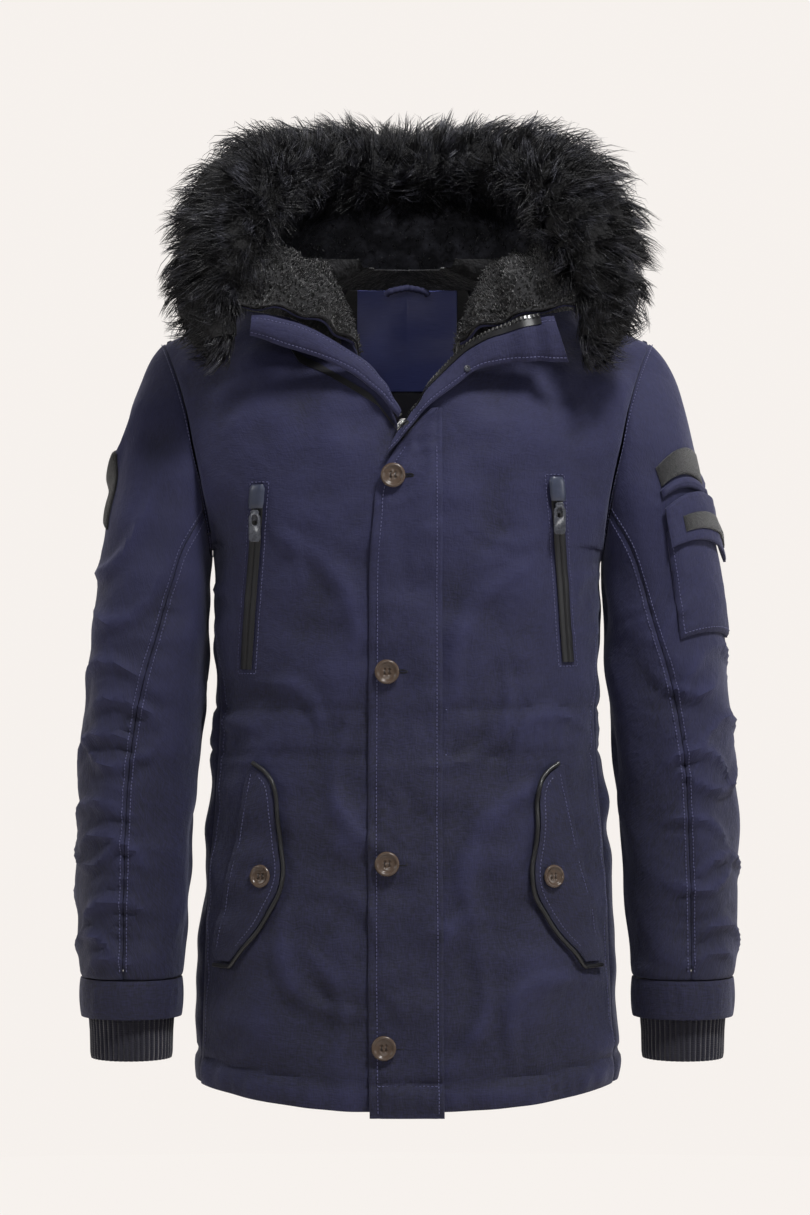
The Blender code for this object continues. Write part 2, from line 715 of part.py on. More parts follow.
def fur_path():
    """Middle line and reach of the fur along the hood's rim."""
    numbers = np.arange(len(HOOD))
    fine = np.linspace(0, len(HOOD) - 1, 13)
    half = np.stack([spline(fine, numbers, HOOD[:, 12 + axis]) for axis in range(4)], axis=-1)
    end = half[-1].copy()
    low = end + (0.0, 0.0, -0.028, 0)
    low[3] = end[3] * 0.62
    half = np.vstack((half, low))
    right = half[::-1] * (-1, 1, 1, 1)
    return np.vstack((right, half[1:]))


def fur():
    """Plain solid of the fur's reach."""
    line = fur_path()
    tube("fur_trim", line[:, :3], line[:, 3], long_fur(), FUR_SIDES)


def neck_inside():
    """Hanger loop, satin back facing, its sides and the lining below, inside the back."""
    def panel(name, across, heights, depth, material, columns):
        share = np.linspace(0, 1, columns + 1)
        rows = []
        for z, (first, last) in zip(heights, across):
            x = first + (last - first) * share
            rows.append(on_body(x, np.full_like(x, z), np.full_like(x, -depth), True))
        wall(name, np.array(rows), LINING, material)

    clear = SHELL + 0.0034
    heights = (-0.104, -0.078, -0.052, -0.030, -0.014)
    panel("back_neck_facing", ((-0.0505, 0.0505),) * 5, heights, clear, satin(), 6)
    side_edges = ((0.0512, 0.090), (0.0512, 0.086), (0.0512, 0.080), (0.0512, 0.070), (0.0512, 0.060))
    panel("facing_side_left", side_edges, heights, clear, black_tape(), 3)
    other = [(-last, -first) for first, last in side_edges]
    panel("facing_side_right", other, heights, clear, black_tape(), 3)
    low_heights = (-0.745, -0.640, -0.540, -0.440, -0.340, -0.260, -0.190, -0.145, -0.1065)
    widths = (0.172, 0.170, 0.164, 0.158, 0.156, 0.150, 0.135, 0.118, 0.095)
    panel("lining_back", [(-width, width) for width in widths], low_heights,
          clear + 0.0015, lining_cloth(), 6)
    share = np.linspace(0, 1, 9)
    x = 0.0255 * (2 * share - 1)
    droop = -0.0025 - 0.0045 * np.sin(share * math.pi) ** 0.6
    path = on_body(x, droop - 0.008, np.full_like(x, -clear - 0.0055), True)
    tube("hanger_loop", path, 0.0026, shell_cloth(), 8)


def main_zip():
    """Zip tapes down the front edges, the slider at the top of the closed part and its pull."""
    share = np.linspace(0, 1, 14)
    heights = -0.778 + (-0.160 + 0.778) * share
    for side, sign in (("left", 1), ("right", -1)):
        x = np.stack((np.full_like(heights, GAP), np.full_like(heights, ZIP_HALF - GAP)), axis=1)
        z = np.stack((heights, heights), axis=1)
        points = on_front(x, z, np.full(x.shape, -0.0008)) * (sign, 1, 1)
        wall("zip_tape_" + side, points, 0.0014, black_tape())


def slider_body(name, centre, width, height, depth, material):
    """Shield-shaped zip slider, wide at its shoulders and narrow at its foot."""
    outline = ((-0.30, -0.5), (0.30, -0.5), (0.42, -0.1), (0.5, 0.32), (0.28, 0.5), (-0.28, 0.5),
               (-0.5, 0.32), (-0.42, -0.1))
    corners = []
    for y in (depth / 2, -depth / 2):
        for x, z in outline:
            corners.append(np.add(centre, (x * width, y, z * height)))
    count = len(outline)
    faces = [tuple(range(count)), tuple(reversed(range(count, 2 * count)))]
    for first in range(count):
        after = (first + 1) % count
        faces.append((first, count + first, count + after, after))
    return place(name, corners, faces, material)


def pull_tab(name, pivot, length, width, thickness, material):
    """Zip pull hanging straight down from its pivot: a flat tab with a slot near its top."""
    outer = ((-0.28, 0.04), (0.28, 0.04), (0.5, -0.12), (0.5, -0.90), (0.34, -1.0), (-0.34, -1.0),
             (-0.5, -0.90), (-0.5, -0.12))
    slot = ((-0.14, -0.05), (0.14, -0.05), (0.24, -0.16), (0.24, -0.34), (0.16, -0.40),
            (-0.16, -0.40), (-0.24, -0.34), (-0.24, -0.16))
    corners = []
    for y in (thickness / 2, -thickness / 2):
        for outline in (outer, slot):
            for x, z in outline:
                corners.append(np.array((x * width, y, z * length)))
    faces = []
    for first in range(8):
        after = (first + 1) % 8
        faces.append((first, after, 8 + after, 8 + first))
        faces.append((16 + after, 16 + first, 24 + first, 24 + after))
        faces.append((after, first, 16 + first, 16 + after))
        faces.append((8 + first, 8 + after, 24 + after, 24 + first))
    made = place(name, corners, faces, material)
    made.location = pivot
    return made


def chest_zips():
    """Slanted chest zips: tape, rubber garage over the top, slider and pull."""
    for side, sign, rise in (("left", 1, CHEST_LEFT_RISE), ("right", -1, 0.0)):
        share = np.linspace(0, 1, 9)
        line_x = CHEST_TOP[0] + (CHEST_BOTTOM[0] - CHEST_TOP[0]) * share
        line_z = CHEST_TOP[1] + rise + (CHEST_BOTTOM[1] - CHEST_TOP[1]) * share
        across = np.array((-CHEST_HALF, 0.0, CHEST_HALF))
        x = line_x[:, None] + across
        z = line_z[:, None] + 0 * across
        points = on_front(x, z, np.full(x.shape, LIFT + 0.0010)) * (sign, 1, 1)
        wall("chest_zip_tape_" + side, points, 0.0010, black_tape())
        share = np.array((0.0, 0.25, 0.75, 1.0))
        rows = []
        slope = (CHEST_BOTTOM[0] - CHEST_TOP[0]) / (CHEST_BOTTOM[1] - CHEST_TOP[1])
        for down, half in ((-0.002, 0.0045), (0.002, 0.0068), (0.014, 0.0070), (0.020, 0.0066)):
            z_mid = CHEST_TOP[1] + rise - down
            x_mid = CHEST_TOP[0] - down * slope
            x_row = x_mid + half * (2 * share - 1)
            lift = LIFT + 0.0016 + np.array((0.0022, 0.0042, 0.0042, 0.0022))
            rows.append(on_front(x_row, np.full(4, z_mid), lift))
        cap = np.array(rows) * (sign, 1, 1)
        wall("chest_garage_" + side, cap, 0.0020, rubber())
        top_z = CHEST_TOP[1] + rise - 0.0265
        top_x = CHEST_TOP[0] - 0.0265 * slope
        seat = on_front(np.array(top_x), np.array(top_z), np.array(LIFT + 0.0032))
        depth = 0.0032
        centre = seat * (sign, 1, 1) + (0, -depth / 2 - 0.0006, 0)
        slider_body("chest_slider_" + side, centre, 0.0085, 0.0105, depth, dark_metal())
        pivot = centre + (0, -depth / 2 - 0.0016, 0.0012)
        pull_tab("chest_pull_" + side, pivot, PULL_LENGTH, PULL_WIDTH, 0.0016, dark_metal())
    seat = on_front(np.array(0.0), np.array(-0.1500), np.array(0.0004))
    centre = seat + (-0.0035, -0.0022, 0.0)
    slider_body("main_slider", centre, 0.0090, 0.0105, 0.0032, steel())
    pivot = centre + (-0.0030, -0.0028, 0.0020)
    pull_tab("main_pull", pivot, 0.0120, 0.0050, 0.0014, steel())


def pocket_flaps():
    """Hand-pocket flaps, sewn along their outer edge, with leather piping on the free edge."""
    table = np.array(POCKET_FLAP)
    share = np.linspace(0, 1, 5)
    x = table[:, 1:2] + (table[:, 2:3] - table[:, 1:2]) * share
    z = np.broadcast_to(table[:, 0:1], x.shape)
    radius = 0.0021
    free = table[:, (2, 0)]
    outward = unit(np.gradient(free, axis=0))[:, ::-1] * (1, -1)
    route = free + outward * (radius + 0.0009)
    tail = np.array(((0.1690, -0.6565), (0.1810, -0.6565)))
    route = np.vstack((route[:-1], (table[-1, 2] - 0.0015, table[-1, 0] - 0.0033), tail))
    for side, sign in (("left", 1), ("right", -1)):
        points = on_front(x, z, np.full(x.shape, LIFT + 0.0030)) * (sign, 1, 1)
        wall("pocket_flap_" + side, points, 0.0030, shell_cloth())
        lift = np.full(len(route), LIFT + radius + 0.0004)
        path = on_front(route[:, 0], route[:, 1], lift) * (sign, 1, 1)
        tube("pocket_piping_" + side, path, radius, leather(), 8)


def button(name, centre, normal, radius, material):
    """Turned four-hole style button: a low cup with a raised rim, on a short shank."""
    profile = ((0.0, 0.0012), (0.55, 0.0013), (0.70, 0.0018), (0.80, 0.0032), (0.92, 0.0034),
               (1.0, 0.0022), (0.86, 0.0002), (0.30, 0.0), (0.0, 0.0))
    normal = unit(np.asarray(normal, float))
    first = unit(np.cross(normal, (0.0, 0.0, 1.0)))
    second = np.cross(normal, first)
    steps = BUTTON_SIDES
    corners = [centre + normal * profile[0][1], centre + normal * profile[-1][1]]
    rings = profile[1:-1]
    for share, height in rings:
        for step in range(steps):
            turn = 2 * math.pi * step / steps
            flat = math.cos(turn) * first + math.sin(turn) * second
            corners.append(centre + normal * height + flat * share * radius)
    faces = []
    for step in range(steps):
        after = (step + 1) % steps
        faces.append((0, 2 + step, 2 + after))
        last = 2 + (len(rings) - 1) * steps
        faces.append((1, last + after, last + step))
        for ring in range(len(rings) - 1):
            low = 2 + ring * steps
            high = low + steps
            faces.append((low + step, high + step, high + after, low + after))
    return place(name, corners, faces, material)


def buttons():
    """Four buttons down the placket and one on each pocket flap."""
    for number, (x, z) in enumerate(zip(BUTTON_X, FRONT_BUTTONS), 1):
        low = on_front(np.array(x), np.array(z), np.array(LIFT + PLACKET_THICK + 0.0010))
        high = on_front(np.array(x), np.array(z), np.array(0.02))
        button("front_button_%d" % number, low, high - low, BUTTON_RADIUS, horn())
    x, z = FLAP_BUTTON
    low = on_front(np.array(x), np.array(z), np.array(LIFT + 0.0030 + 0.0008))
    high = on_front(np.array(x), np.array(z), np.array(0.02))
    for side, sign in (("left", 1), ("right", -1)):
        flip = np.array((sign, 1, 1))
        button("flap_button_" + side, low * flip, (high - low) * flip, FLAP_BUTTON_RADIUS, horn())


def sleeve_piece_on(name, place_on, lift, thickness, material, left, steps, slant=0.0):
    """Piece lying on a sleeve between two ring numbers and two angles, lifted off the cloth."""
    (first, last), (low, high) = place_on
    rows = np.linspace(first, last, steps[0] + 1)[:, None]
    turns = np.radians(np.linspace(low, high, steps[1] + 1))[None, :]
    rows = rows + slant * (turns - turns.mean())
    turns = turns + 0 * rows
    points = sleeve_at(rows, turns) + sleeve_normal(rows, turns) * lift
    if not left:
        points = mirrored(points)
    side = 1 if left else -1
    wall(name, points, thickness, material, (side * 0.245, 0.0))


def sleeve_details():
    """Hook-and-loop patches, and the pocket with its welt and flap on the left sleeve."""
    base = LIFT
    sleeve_piece_on("sleeve_patch_right", PATCH_RIGHT, base + 0.0018, 0.0018, black_tape(),
                    False, (4, 4))
    sleeve_piece_on("sleeve_patch_left", PATCH_LEFT, base + 0.0018, 0.0018, black_tape(),
                    True, (3, 4), WELT_SLANT)
    sleeve_piece_on("sleeve_pocket_left", BAG_LEFT, base + 0.0020, 0.0020, shell_cloth(),
                    True, (6, 4), BAG_SLANT)
    sleeve_piece_on("sleeve_welt_left", WELT_LEFT, base + 0.0030, 0.0030, shell_cloth(),
                    True, (2, 4), WELT_SLANT)
    sleeve_piece_on("sleeve_flap_left", FLAP_LEFT, base + 0.0066, 0.0025, shell_cloth(),
                    True, (3, 4), FLAP_SLANT)
    sleeve_piece_on("sleeve_flap_patch_left", FLAP_PATCH_LEFT, base + 0.0098, 0.0016,
                    black_tape(), True, (2, 3), FLAP_SLANT)


def main():
    """Clear the scene and build the coat."""
    for old in list(bpy.data.objects):
        bpy.data.objects.remove(old, do_unlink=True)
    fronts()
    back()
    sleeves()
    cuffs()
    placket()
    wings()
    hood()
    fur()
    neck_inside()
    main_zip()
    chest_zips()
    pocket_flaps()
    buttons()
    sleeve_details()


main()
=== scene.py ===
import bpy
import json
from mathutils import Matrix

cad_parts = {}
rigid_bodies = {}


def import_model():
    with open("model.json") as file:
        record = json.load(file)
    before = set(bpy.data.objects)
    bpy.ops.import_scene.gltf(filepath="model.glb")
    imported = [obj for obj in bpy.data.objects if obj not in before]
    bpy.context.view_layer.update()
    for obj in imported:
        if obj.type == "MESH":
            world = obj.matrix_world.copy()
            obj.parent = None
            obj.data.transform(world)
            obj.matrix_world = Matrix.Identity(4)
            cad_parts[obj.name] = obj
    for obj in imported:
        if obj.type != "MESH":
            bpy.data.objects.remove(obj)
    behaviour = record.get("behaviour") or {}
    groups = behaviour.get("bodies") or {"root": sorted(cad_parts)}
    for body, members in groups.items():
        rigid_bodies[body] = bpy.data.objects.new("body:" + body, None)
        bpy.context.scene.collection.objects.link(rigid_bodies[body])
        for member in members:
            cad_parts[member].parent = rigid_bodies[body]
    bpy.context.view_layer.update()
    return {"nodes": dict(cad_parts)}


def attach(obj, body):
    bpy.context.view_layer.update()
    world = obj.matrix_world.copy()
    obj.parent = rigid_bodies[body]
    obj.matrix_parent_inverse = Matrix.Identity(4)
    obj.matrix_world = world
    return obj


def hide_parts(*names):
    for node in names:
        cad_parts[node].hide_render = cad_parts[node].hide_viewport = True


bl_info = {
    "name": "Fur Trimmed Parka",
    "version": (1, 0, 0),
    "blender": (4, 5, 0),
    "location": "3D View > Sidebar > Parka",
    "description": "Sews the cloth, fur, knit, zips and buttons of a hooded parka round its frame",
    "category": "Object",
}

import json
import math

import bmesh
import bpy
import numpy as np
from bpy.props import FloatProperty, FloatVectorProperty, IntProperty, PointerProperty
from bpy.types import Operator, Panel, PropertyGroup

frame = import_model()
COAT = "coat"

# Sizes of the cut, in metres, the same as the frame's
GAP = 0.0003
SHELL = 0.004
HEM_THICK = 0.007
LINING = 0.0015
PLACKET_THICK = 0.0035
LIFT = 0.0016
MID_Y = 0.005
NECK_Z = -0.002
ZIP_HALF = 0.0060
SHOULDER_NECK_X = 0.078
SHOULDER_TIP_X = 0.234
SHOULDER_TIP_Z = -0.066
SHOULDER_ROUND = 0.13
ARMPIT_Z = -0.270
FULLNESS = 2.4
HEM_FRONT_Z = -0.787
HEM_SIDE_Z = -0.768
HEM_BACK_Z = -0.785
SEAM_TURN = math.radians(16)
RING_STEPS = 10
SLEEVE_FULLNESS = 2.2
CUFF_TOP_Z = -0.670
CUFF_BOTTOM_Z = -0.708
RIB_BOTTOM_Z = -0.748
HEM_BAND = 0.026
CASING = (-0.415, -0.457)

# Height, half width, front depth, back depth of the body's cross-sections
BODY = np.array([
    (-0.800, 0.2030, 0.150, 0.150),
    (-0.700, 0.2015, 0.150, 0.150),
    (-0.600, 0.1970, 0.144, 0.147),
    (-0.500, 0.1895, 0.137, 0.136),
    (-0.420, 0.1850, 0.132, 0.126),
    (-0.340, 0.1845, 0.136, 0.126),
    (-0.270, 0.1870, 0.140, 0.132),
    (-0.230, 0.2000, 0.141, 0.136),
    (-0.170, 0.2230, 0.136, 0.137),
    (-0.110, 0.2400, 0.121, 0.126),
    (-0.050, 0.2460, 0.100, 0.106),
    (0.020, 0.2480, 0.080, 0.082),
])

# Height and side distance of the armhole seam
ARMHOLE = np.array([
    (-0.270, 0.1870), (-0.250, 0.1885), (-0.230, 0.1910), (-0.200, 0.1960), (-0.170, 0.2025),
    (-0.140, 0.2085), (-0.110, 0.2170), (-0.090, 0.2240), (-0.066, 0.2340),
])

# Heights of the rows below the armpit, from above the hem to the armpit
LOWER_ROWS = (-0.742, -0.660, -0.575, -0.500, -0.452, -0.415, -0.340, ARMPIT_Z)

# Side distance and height of the front's inner edge, from the armpit row up to the neck
NECK_EDGE = (
    (ZIP_HALF, -0.245), (ZIP_HALF, -0.215), (ZIP_HALF, -0.185), (ZIP_HALF, -0.158),
    (0.017, -0.130), (0.031, -0.106), (0.044, -0.084), (0.056, -0.062), (0.068, -0.034),
    (SHOULDER_NECK_X, NECK_Z),
)

# Height of the centre back in the rows above the armpit
BACK_RISE = (-0.240, -0.210, -0.180, -0.150, -0.120, -0.092, -0.066, -0.042, -0.020, NECK_Z)

# Outer side, height, inner side, height, half depth and middle of each ring down the sleeve
SLEEVE = np.array([
    (0.2340, -0.066, 0.1870, -0.270, 0.070, 0.005),
    (0.2480, -0.086, 0.1875, -0.285, 0.074, 0.005),
    (0.2620, -0.117, 0.1885, -0.303, 0.076, 0.004),
    (0.2735, -0.160, 0.1890, -0.325, 0.076, 0.003),
    (0.2850, -0.218, 0.1895, -0.352, 0.074, 0.001),
    (0.2960, -0.283, 0.1900, -0.383, 0.072, -0.002),
    (0.3040, -0.343, 0.1935, -0.415, 0.071, -0.004),
    (0.3090, -0.403, 0.1980, -0.452, 0.068, -0.006),
    (0.3130, -0.465, 0.2020, -0.492, 0.067, -0.009),
    (0.3150, -0.520, 0.2050, -0.532, 0.064, -0.013),
    (0.3150, -0.572, 0.2080, -0.576, 0.063, -0.018),
    (0.3135, -0.624, 0.2120, -0.624, 0.059, -0.024),
    (0.3115, CUFF_TOP_Z, 0.2135, CUFF_TOP_Z, 0.057, -0.029),
])
SEAM_FRONT = (126, 122, 117, 111, 105, 98, 92, 88, 86, 86, 86, 86, 86)
SEAM_BACK = (126, 124, 122, 120, 120, 120, 120, 120, 120, 120, 120, 120, 120)

# Hood sections on the wearer's right: neck seam, front wall, bag bottom, back wall, rim, reach
HOOD = np.array([
    (0.000, 0.070, 0.001, 0.000, 0.150, -0.110, 0.000, 0.186, -0.196, 0.000, 0.214, -0.070,
     0.000, 0.118, 0.112, 0.055),
    (0.038, 0.062, 0.001, 0.058, 0.147, -0.108, 0.063, 0.181, -0.184, 0.073, 0.207, -0.065,
     0.055, 0.108, 0.111, 0.055),
    (0.064, 0.042, 0.003, 0.108, 0.128, -0.078, 0.125, 0.158, -0.130, 0.140, 0.168, -0.040,
     0.098, 0.068, 0.107, 0.056),
    (0.076, 0.012, 0.005, 0.124, 0.062, -0.016, 0.160, 0.082, -0.044, 0.190, 0.076, 0.004,
     0.132, 0.015, 0.097, 0.058),
    (0.076, -0.030, -0.005, 0.118, -0.012, 0.002, 0.156, 0.000, -0.008, 0.192, -0.004, 0.012,
     0.150, -0.035, 0.082, 0.061),
    (0.070, -0.062, -0.024, 0.092, -0.054, -0.012, 0.108, -0.046, -0.006, 0.120, -0.040, 0.001,
     0.164, -0.078, 0.055, 0.063),
    (0.061, -0.094, -0.048, 0.078, -0.097, -0.034, 0.092, -0.098, -0.020, 0.104, -0.097, -0.006,
     0.176, -0.106, 0.012, 0.056),
    (0.050, -0.113, -0.0755, 0.072, -0.121, -0.062, 0.095, -0.126, -0.0525, 0.120, -0.127, -0.045,
     0.188, -0.118, -0.038, 0.041),
])

# Turned-back collar strips: inner edge x, y, z and outer edge x, y, z
WING_LEFT = np.array([
    (-0.0110, -0.1405, -0.1600, -0.0195, -0.1450, -0.1780),
    (0.0080, -0.1350, -0.1330, -0.0090, -0.1430, -0.1660),
    (0.0260, -0.1290, -0.1060, 0.0180, -0.1380, -0.1340),
    (0.0500, -0.1230, -0.0815, 0.0450, -0.1340, -0.1130),
    (0.0720, -0.1280, -0.0680, 0.0640, -0.1320, -0.1000),
    (0.0900, -0.1320, -0.0600, 0.0830, -0.1310, -0.0950),
    (0.1120, -0.1340, -0.0530, 0.1160, -0.1310, -0.0920),
    (0.1360, -0.1350, -0.0490, 0.1500, -0.1310, -0.0930),
])
WING_RIGHT = np.array([
    (0.0050, -0.1330, -0.1370, 0.0075, -0.1345, -0.1430),
    (0.0240, -0.1290, -0.1050, 0.0240, -0.1345, -0.1240),
    (0.0500, -0.1230, -0.0815, 0.0520, -0.1300, -0.1020),
    (0.0880, -0.1320, -0.0610, 0.0810, -0.1320, -0.0890),
    (0.1220, -0.1350, -0.0500, 0.1220, -0.1330, -0.0760),
    (0.1440, -0.1360, -0.0480, 0.1460, -0.1340, -0.0680),
])

# Height, free edge and seam edge of the placket
PLACKET = np.array([
    (-0.7925, -0.0345, 0.0345), (-0.700, -0.0355, 0.0335), (-0.600, -0.0360, 0.0330),
    (-0.500, -0.0360, 0.0325), (-0.420, -0.0358, 0.0325), (-0.340, -0.0350, 0.0325),
    (-0.280, -0.0345, 0.0325), (-0.235, -0.0310, 0.0325), (-0.208, -0.0285, 0.0325),
    (-0.188, -0.0200, 0.0325), (-0.170, -0.0090, 0.0325), (-0.152, 0.0060, 0.0325),
    (-0.136, 0.0220, 0.0325),
])

# Height, sewn edge and free edge of the hand-pocket flaps
POCKET_FLAP = np.array([
    (-0.468, 0.1450, 0.1418), (-0.476, 0.1462, 0.1318), (-0.488, 0.1488, 0.1238),
    (-0.514, 0.1538, 0.1215), (-0.540, 0.1590, 0.1205), (-0.566, 0.1645, 0.1172),
    (-0.584, 0.1680, 0.1198), (-0.604, 0.1725, 0.1300), (-0.622, 0.1770, 0.1410),
    (-0.640, 0.1815, 0.1555), (-0.652, 0.1790, 0.1655),
])
FLAP_BUTTON = (0.1330, -0.571)
FRONT_BUTTONS = (-0.198, -0.379, -0.558, -0.727)
BUTTON_X = (-0.0130, -0.0185, -0.0185, -0.0213)
BUTTON_RADIUS = 0.0115
FLAP_BUTTON_RADIUS = 0.0108

# Chest zip: top and bottom of the slot, and the height of its left copy above the right one
CHEST_TOP = (0.1378, -0.207)
CHEST_BOTTOM = (0.1505, -0.378)
CHEST_LEFT_RISE = 0.007
CHEST_HALF = 0.0055

# Sleeve patches and pocket: ring number down the sleeve and angle from the outer side, degrees
PATCH_RIGHT = ((3.15, 4.35), (-14, 26))
PATCH_LEFT = ((2.65, 3.18), (20, 76))
WELT_LEFT = ((3.22, 3.42), (20, 78))
BAG_LEFT = ((3.82, 5.82), (12, 80))
FLAP_LEFT = ((3.60, 4.40), (5, 79))
FLAP_PATCH_LEFT = ((4.02, 4.30), (7, 66))
WELT_SLANT = -1.1
FLAP_SLANT = -0.8
BAG_SLANT = -0.45

# Folds of the front and back: side distance, height, half length, half width, tilt in degrees
# (0 lies across), bend and height of the ridge; the side distance of the back's is on the back
FRONT_FOLDS = np.array([
    (0.055, -0.330, 0.070, 0.012, 62, 0.4, 0.0022),
    (0.085, -0.440, 0.060, 0.011, 55, -0.6, 0.0020),
    (0.060, -0.540, 0.075, 0.014, 68, 0.5, 0.0024),
    (0.105, -0.680, 0.055, 0.013, 48, 0.8, 0.0022),
    (0.070, -0.700, 0.060, 0.012, 74, -0.4, 0.0022),
    (0.120, -0.420, 0.040, 0.010, 25, 0.9, 0.0018),
    (0.150, -0.300, 0.040, 0.011, 40, 0.5, 0.0020),
    (0.120, -0.255, 0.045, 0.012, 30, -0.7, 0.0018),
    (0.165, -0.345, 0.030, 0.009, 12, 0.0, 0.0016),
    (0.048, -0.610, 0.035, 0.009, 28, 0.6, 0.0014),
    (-0.060, -0.300, 0.070, 0.013, -60, 0.4, 0.0022),
    (-0.095, -0.400, 0.050, 0.010, -40, 0.7, 0.0020),
    (-0.066, -0.500, 0.060, 0.012, -72, -0.5, 0.0022),
    (-0.108, -0.670, 0.060, 0.013, -55, -0.6, 0.0024),
    (-0.060, -0.690, 0.055, 0.011, -80, 0.4, 0.0020),
    (-0.155, -0.310, 0.040, 0.010, -35, 0.5, 0.0020),
    (-0.120, -0.250, 0.040, 0.011, -25, 0.8, 0.0016),
    (-0.164, -0.430, 0.026, 0.008, -8, 0.0, 0.0014),
    (-0.050, -0.590, 0.040, 0.010, -30, 0.5, 0.0014),
])
BACK_FOLDS = np.array([
    (0.110, -0.300, 0.080, 0.014, 52, 0.4, 0.0030),
    (-0.115, -0.290, 0.075, 0.013, -50, 0.5, 0.0028),
    (0.060, -0.400, 0.085, 0.012, 24, 0.7, 0.0022),
    (-0.055, -0.385, 0.080, 0.013, -20, -0.6, 0.0022),
    (0.090, -0.560, 0.080, 0.016, 72, 0.3, 0.0028),
    (-0.080, -0.580, 0.085, 0.015, -70, 0.4, 0.0026),
    (0.010, -0.640, 0.070, 0.016, 84, 0.2, 0.0022),
    (0.135, -0.690, 0.050, 0.012, 62, -0.5, 0.0022),
    (-0.130, -0.680, 0.050, 0.012, -60, -0.4, 0.0020),
    (0.140, -0.430, 0.040, 0.010, 14, 0.4, 0.0018),
    (-0.140, -0.440, 0.040, 0.010, -16, 0.4, 0.0018),
    (0.000, -0.500, 0.090, 0.012, 4, -0.4, 0.0014),
])

# Folds of the sleeves: distance round from the outer side (plus to the front), height, half
# length, half width, tilt, bend and height of the ridge
SLEEVE_FOLDS_LEFT = np.array([
    (0.020, -0.210, 0.050, 0.011, -42, 0.6, 0.0026),
    (0.070, -0.260, 0.055, 0.011, -34, 0.5, 0.0030),
    (0.085, -0.315, 0.048, 0.010, -24, 0.4, 0.0032),
    (0.060, -0.355, 0.055, 0.009, -14, 0.6, 0.0030),
    (0.100, -0.400, 0.040, 0.009, 10, -0.4, 0.0030),
    (0.045, -0.425, 0.055, 0.008, -8, 0.4, 0.0028),
    (0.085, -0.455, 0.050, 0.008, 6, 0.5, 0.0030),
    (0.055, -0.492, 0.058, 0.008, -6, -0.4, 0.0030),
    (0.090, -0.520, 0.046, 0.008, 12, 0.3, 0.0028),
    (0.050, -0.553, 0.056, 0.008, 2, 0.4, 0.0030),
    (0.086, -0.585, 0.048, 0.008, -10, -0.3, 0.0028),
    (0.052, -0.618, 0.058, 0.008, 5, 0.4, 0.0028),
    (0.076, -0.645, 0.050, 0.007, -4, 0.3, 0.0024),
    (-0.060, -0.300, 0.060, 0.011, 30, 0.5, 0.0026),
    (-0.080, -0.380, 0.060, 0.010, 16, 0.4, 0.0026),
    (-0.070, -0.450, 0.055, 0.009, -6, 0.4, 0.0026),
    (-0.080, -0.520, 0.055, 0.009, 8, -0.4, 0.0026),
    (-0.065, -0.590, 0.055, 0.009, -6, 0.4, 0.0026),
])
SLEEVE_FOLDS_RIGHT = np.array([
    (0.015, -0.190, 0.050, 0.012, 38, -0.5, 0.0022),
    (0.065, -0.275, 0.060, 0.011, 36, -0.5, 0.0030),
    (0.090, -0.330, 0.050, 0.010, 26, -0.6, 0.0030),
    (0.055, -0.372, 0.055, 0.009, 12, 0.5, 0.0028),
    (0.095, -0.408, 0.042, 0.009, -12, 0.3, 0.0030),
    (0.060, -0.440, 0.055, 0.008, 8, 0.4, 0.0028),
    (0.085, -0.470, 0.050, 0.009, -4, -0.5, 0.0032),
    (0.048, -0.505, 0.056, 0.008, 8, 0.3, 0.0028),
    (0.088, -0.535, 0.048, 0.008, -12, 0.4, 0.0030),
    (0.052, -0.565, 0.056, 0.008, 4, -0.4, 0.0028),
    (0.082, -0.598, 0.050, 0.008, 10, 0.3, 0.0028),
    (0.056, -0.628, 0.056, 0.007, -4, 0.4, 0.0026),
    (0.080, -0.652, 0.048, 0.007, 6, 0.3, 0.0022),
    (-0.062, -0.290, 0.060, 0.011, -30, 0.5, 0.0026),
    (-0.078, -0.370, 0.060, 0.010, -14, 0.4, 0.0026),
    (-0.070, -0.440, 0.055, 0.009, 8, 0.4, 0.0026),
    (-0.078, -0.510, 0.055, 0.009, -8, -0.4, 0.0026),
    (-0.066, -0.580, 0.055, 0.009, 6, 0.4, 0.0026),
])


# ---------------------------------------------------------------- sizes and colours

def length(name, words, value, low, high):
    """Length in metres that a user may change."""
    return FloatProperty(name=name, description=words, default=value, min=low, max=high,
                         precision=4, unit="LENGTH")


def colour(name, words, value):
    """Linear colour that a user may change."""
    return FloatVectorProperty(name=name, description=words, default=value, size=3, min=0.0,
                               max=1.0, subtype="COLOR")


class ParkaCloth(PropertyGroup):
    """Sizes of the cloth, its folds and its sewing."""
    cell: length("Cloth Cell", "Side of a square of the cloth's mesh", 0.0048, 0.003, 0.02)
    fold: FloatProperty(name="Fold Height", description="Share of the folds' own height",
                        default=1.7, min=0.0, max=3.0, subtype="FACTOR")
    pucker: length("Seam Pucker", "Height of the small gathers along the sleeve seams",
                   0.0024, 0.0, 0.006)
    groove: length("Seam Groove", "How far the cloth dips into a seam", 0.0020, 0.0, 0.004)
    stitch: length("Stitch Length", "Length of one sewn stitch", 0.0027, 0.001, 0.006)
    stitch_pitch: length("Stitch Pitch", "Distance from stitch to stitch", 0.0036, 0.002, 0.01)
    thread: length("Thread Radius", "Half the thickness of the thread", 0.00046, 0.0001, 0.001)
    ribs: IntProperty(name="Cuff Ribs", description="Knitted ribs round a cuff", default=46,
                      min=10, max=120)


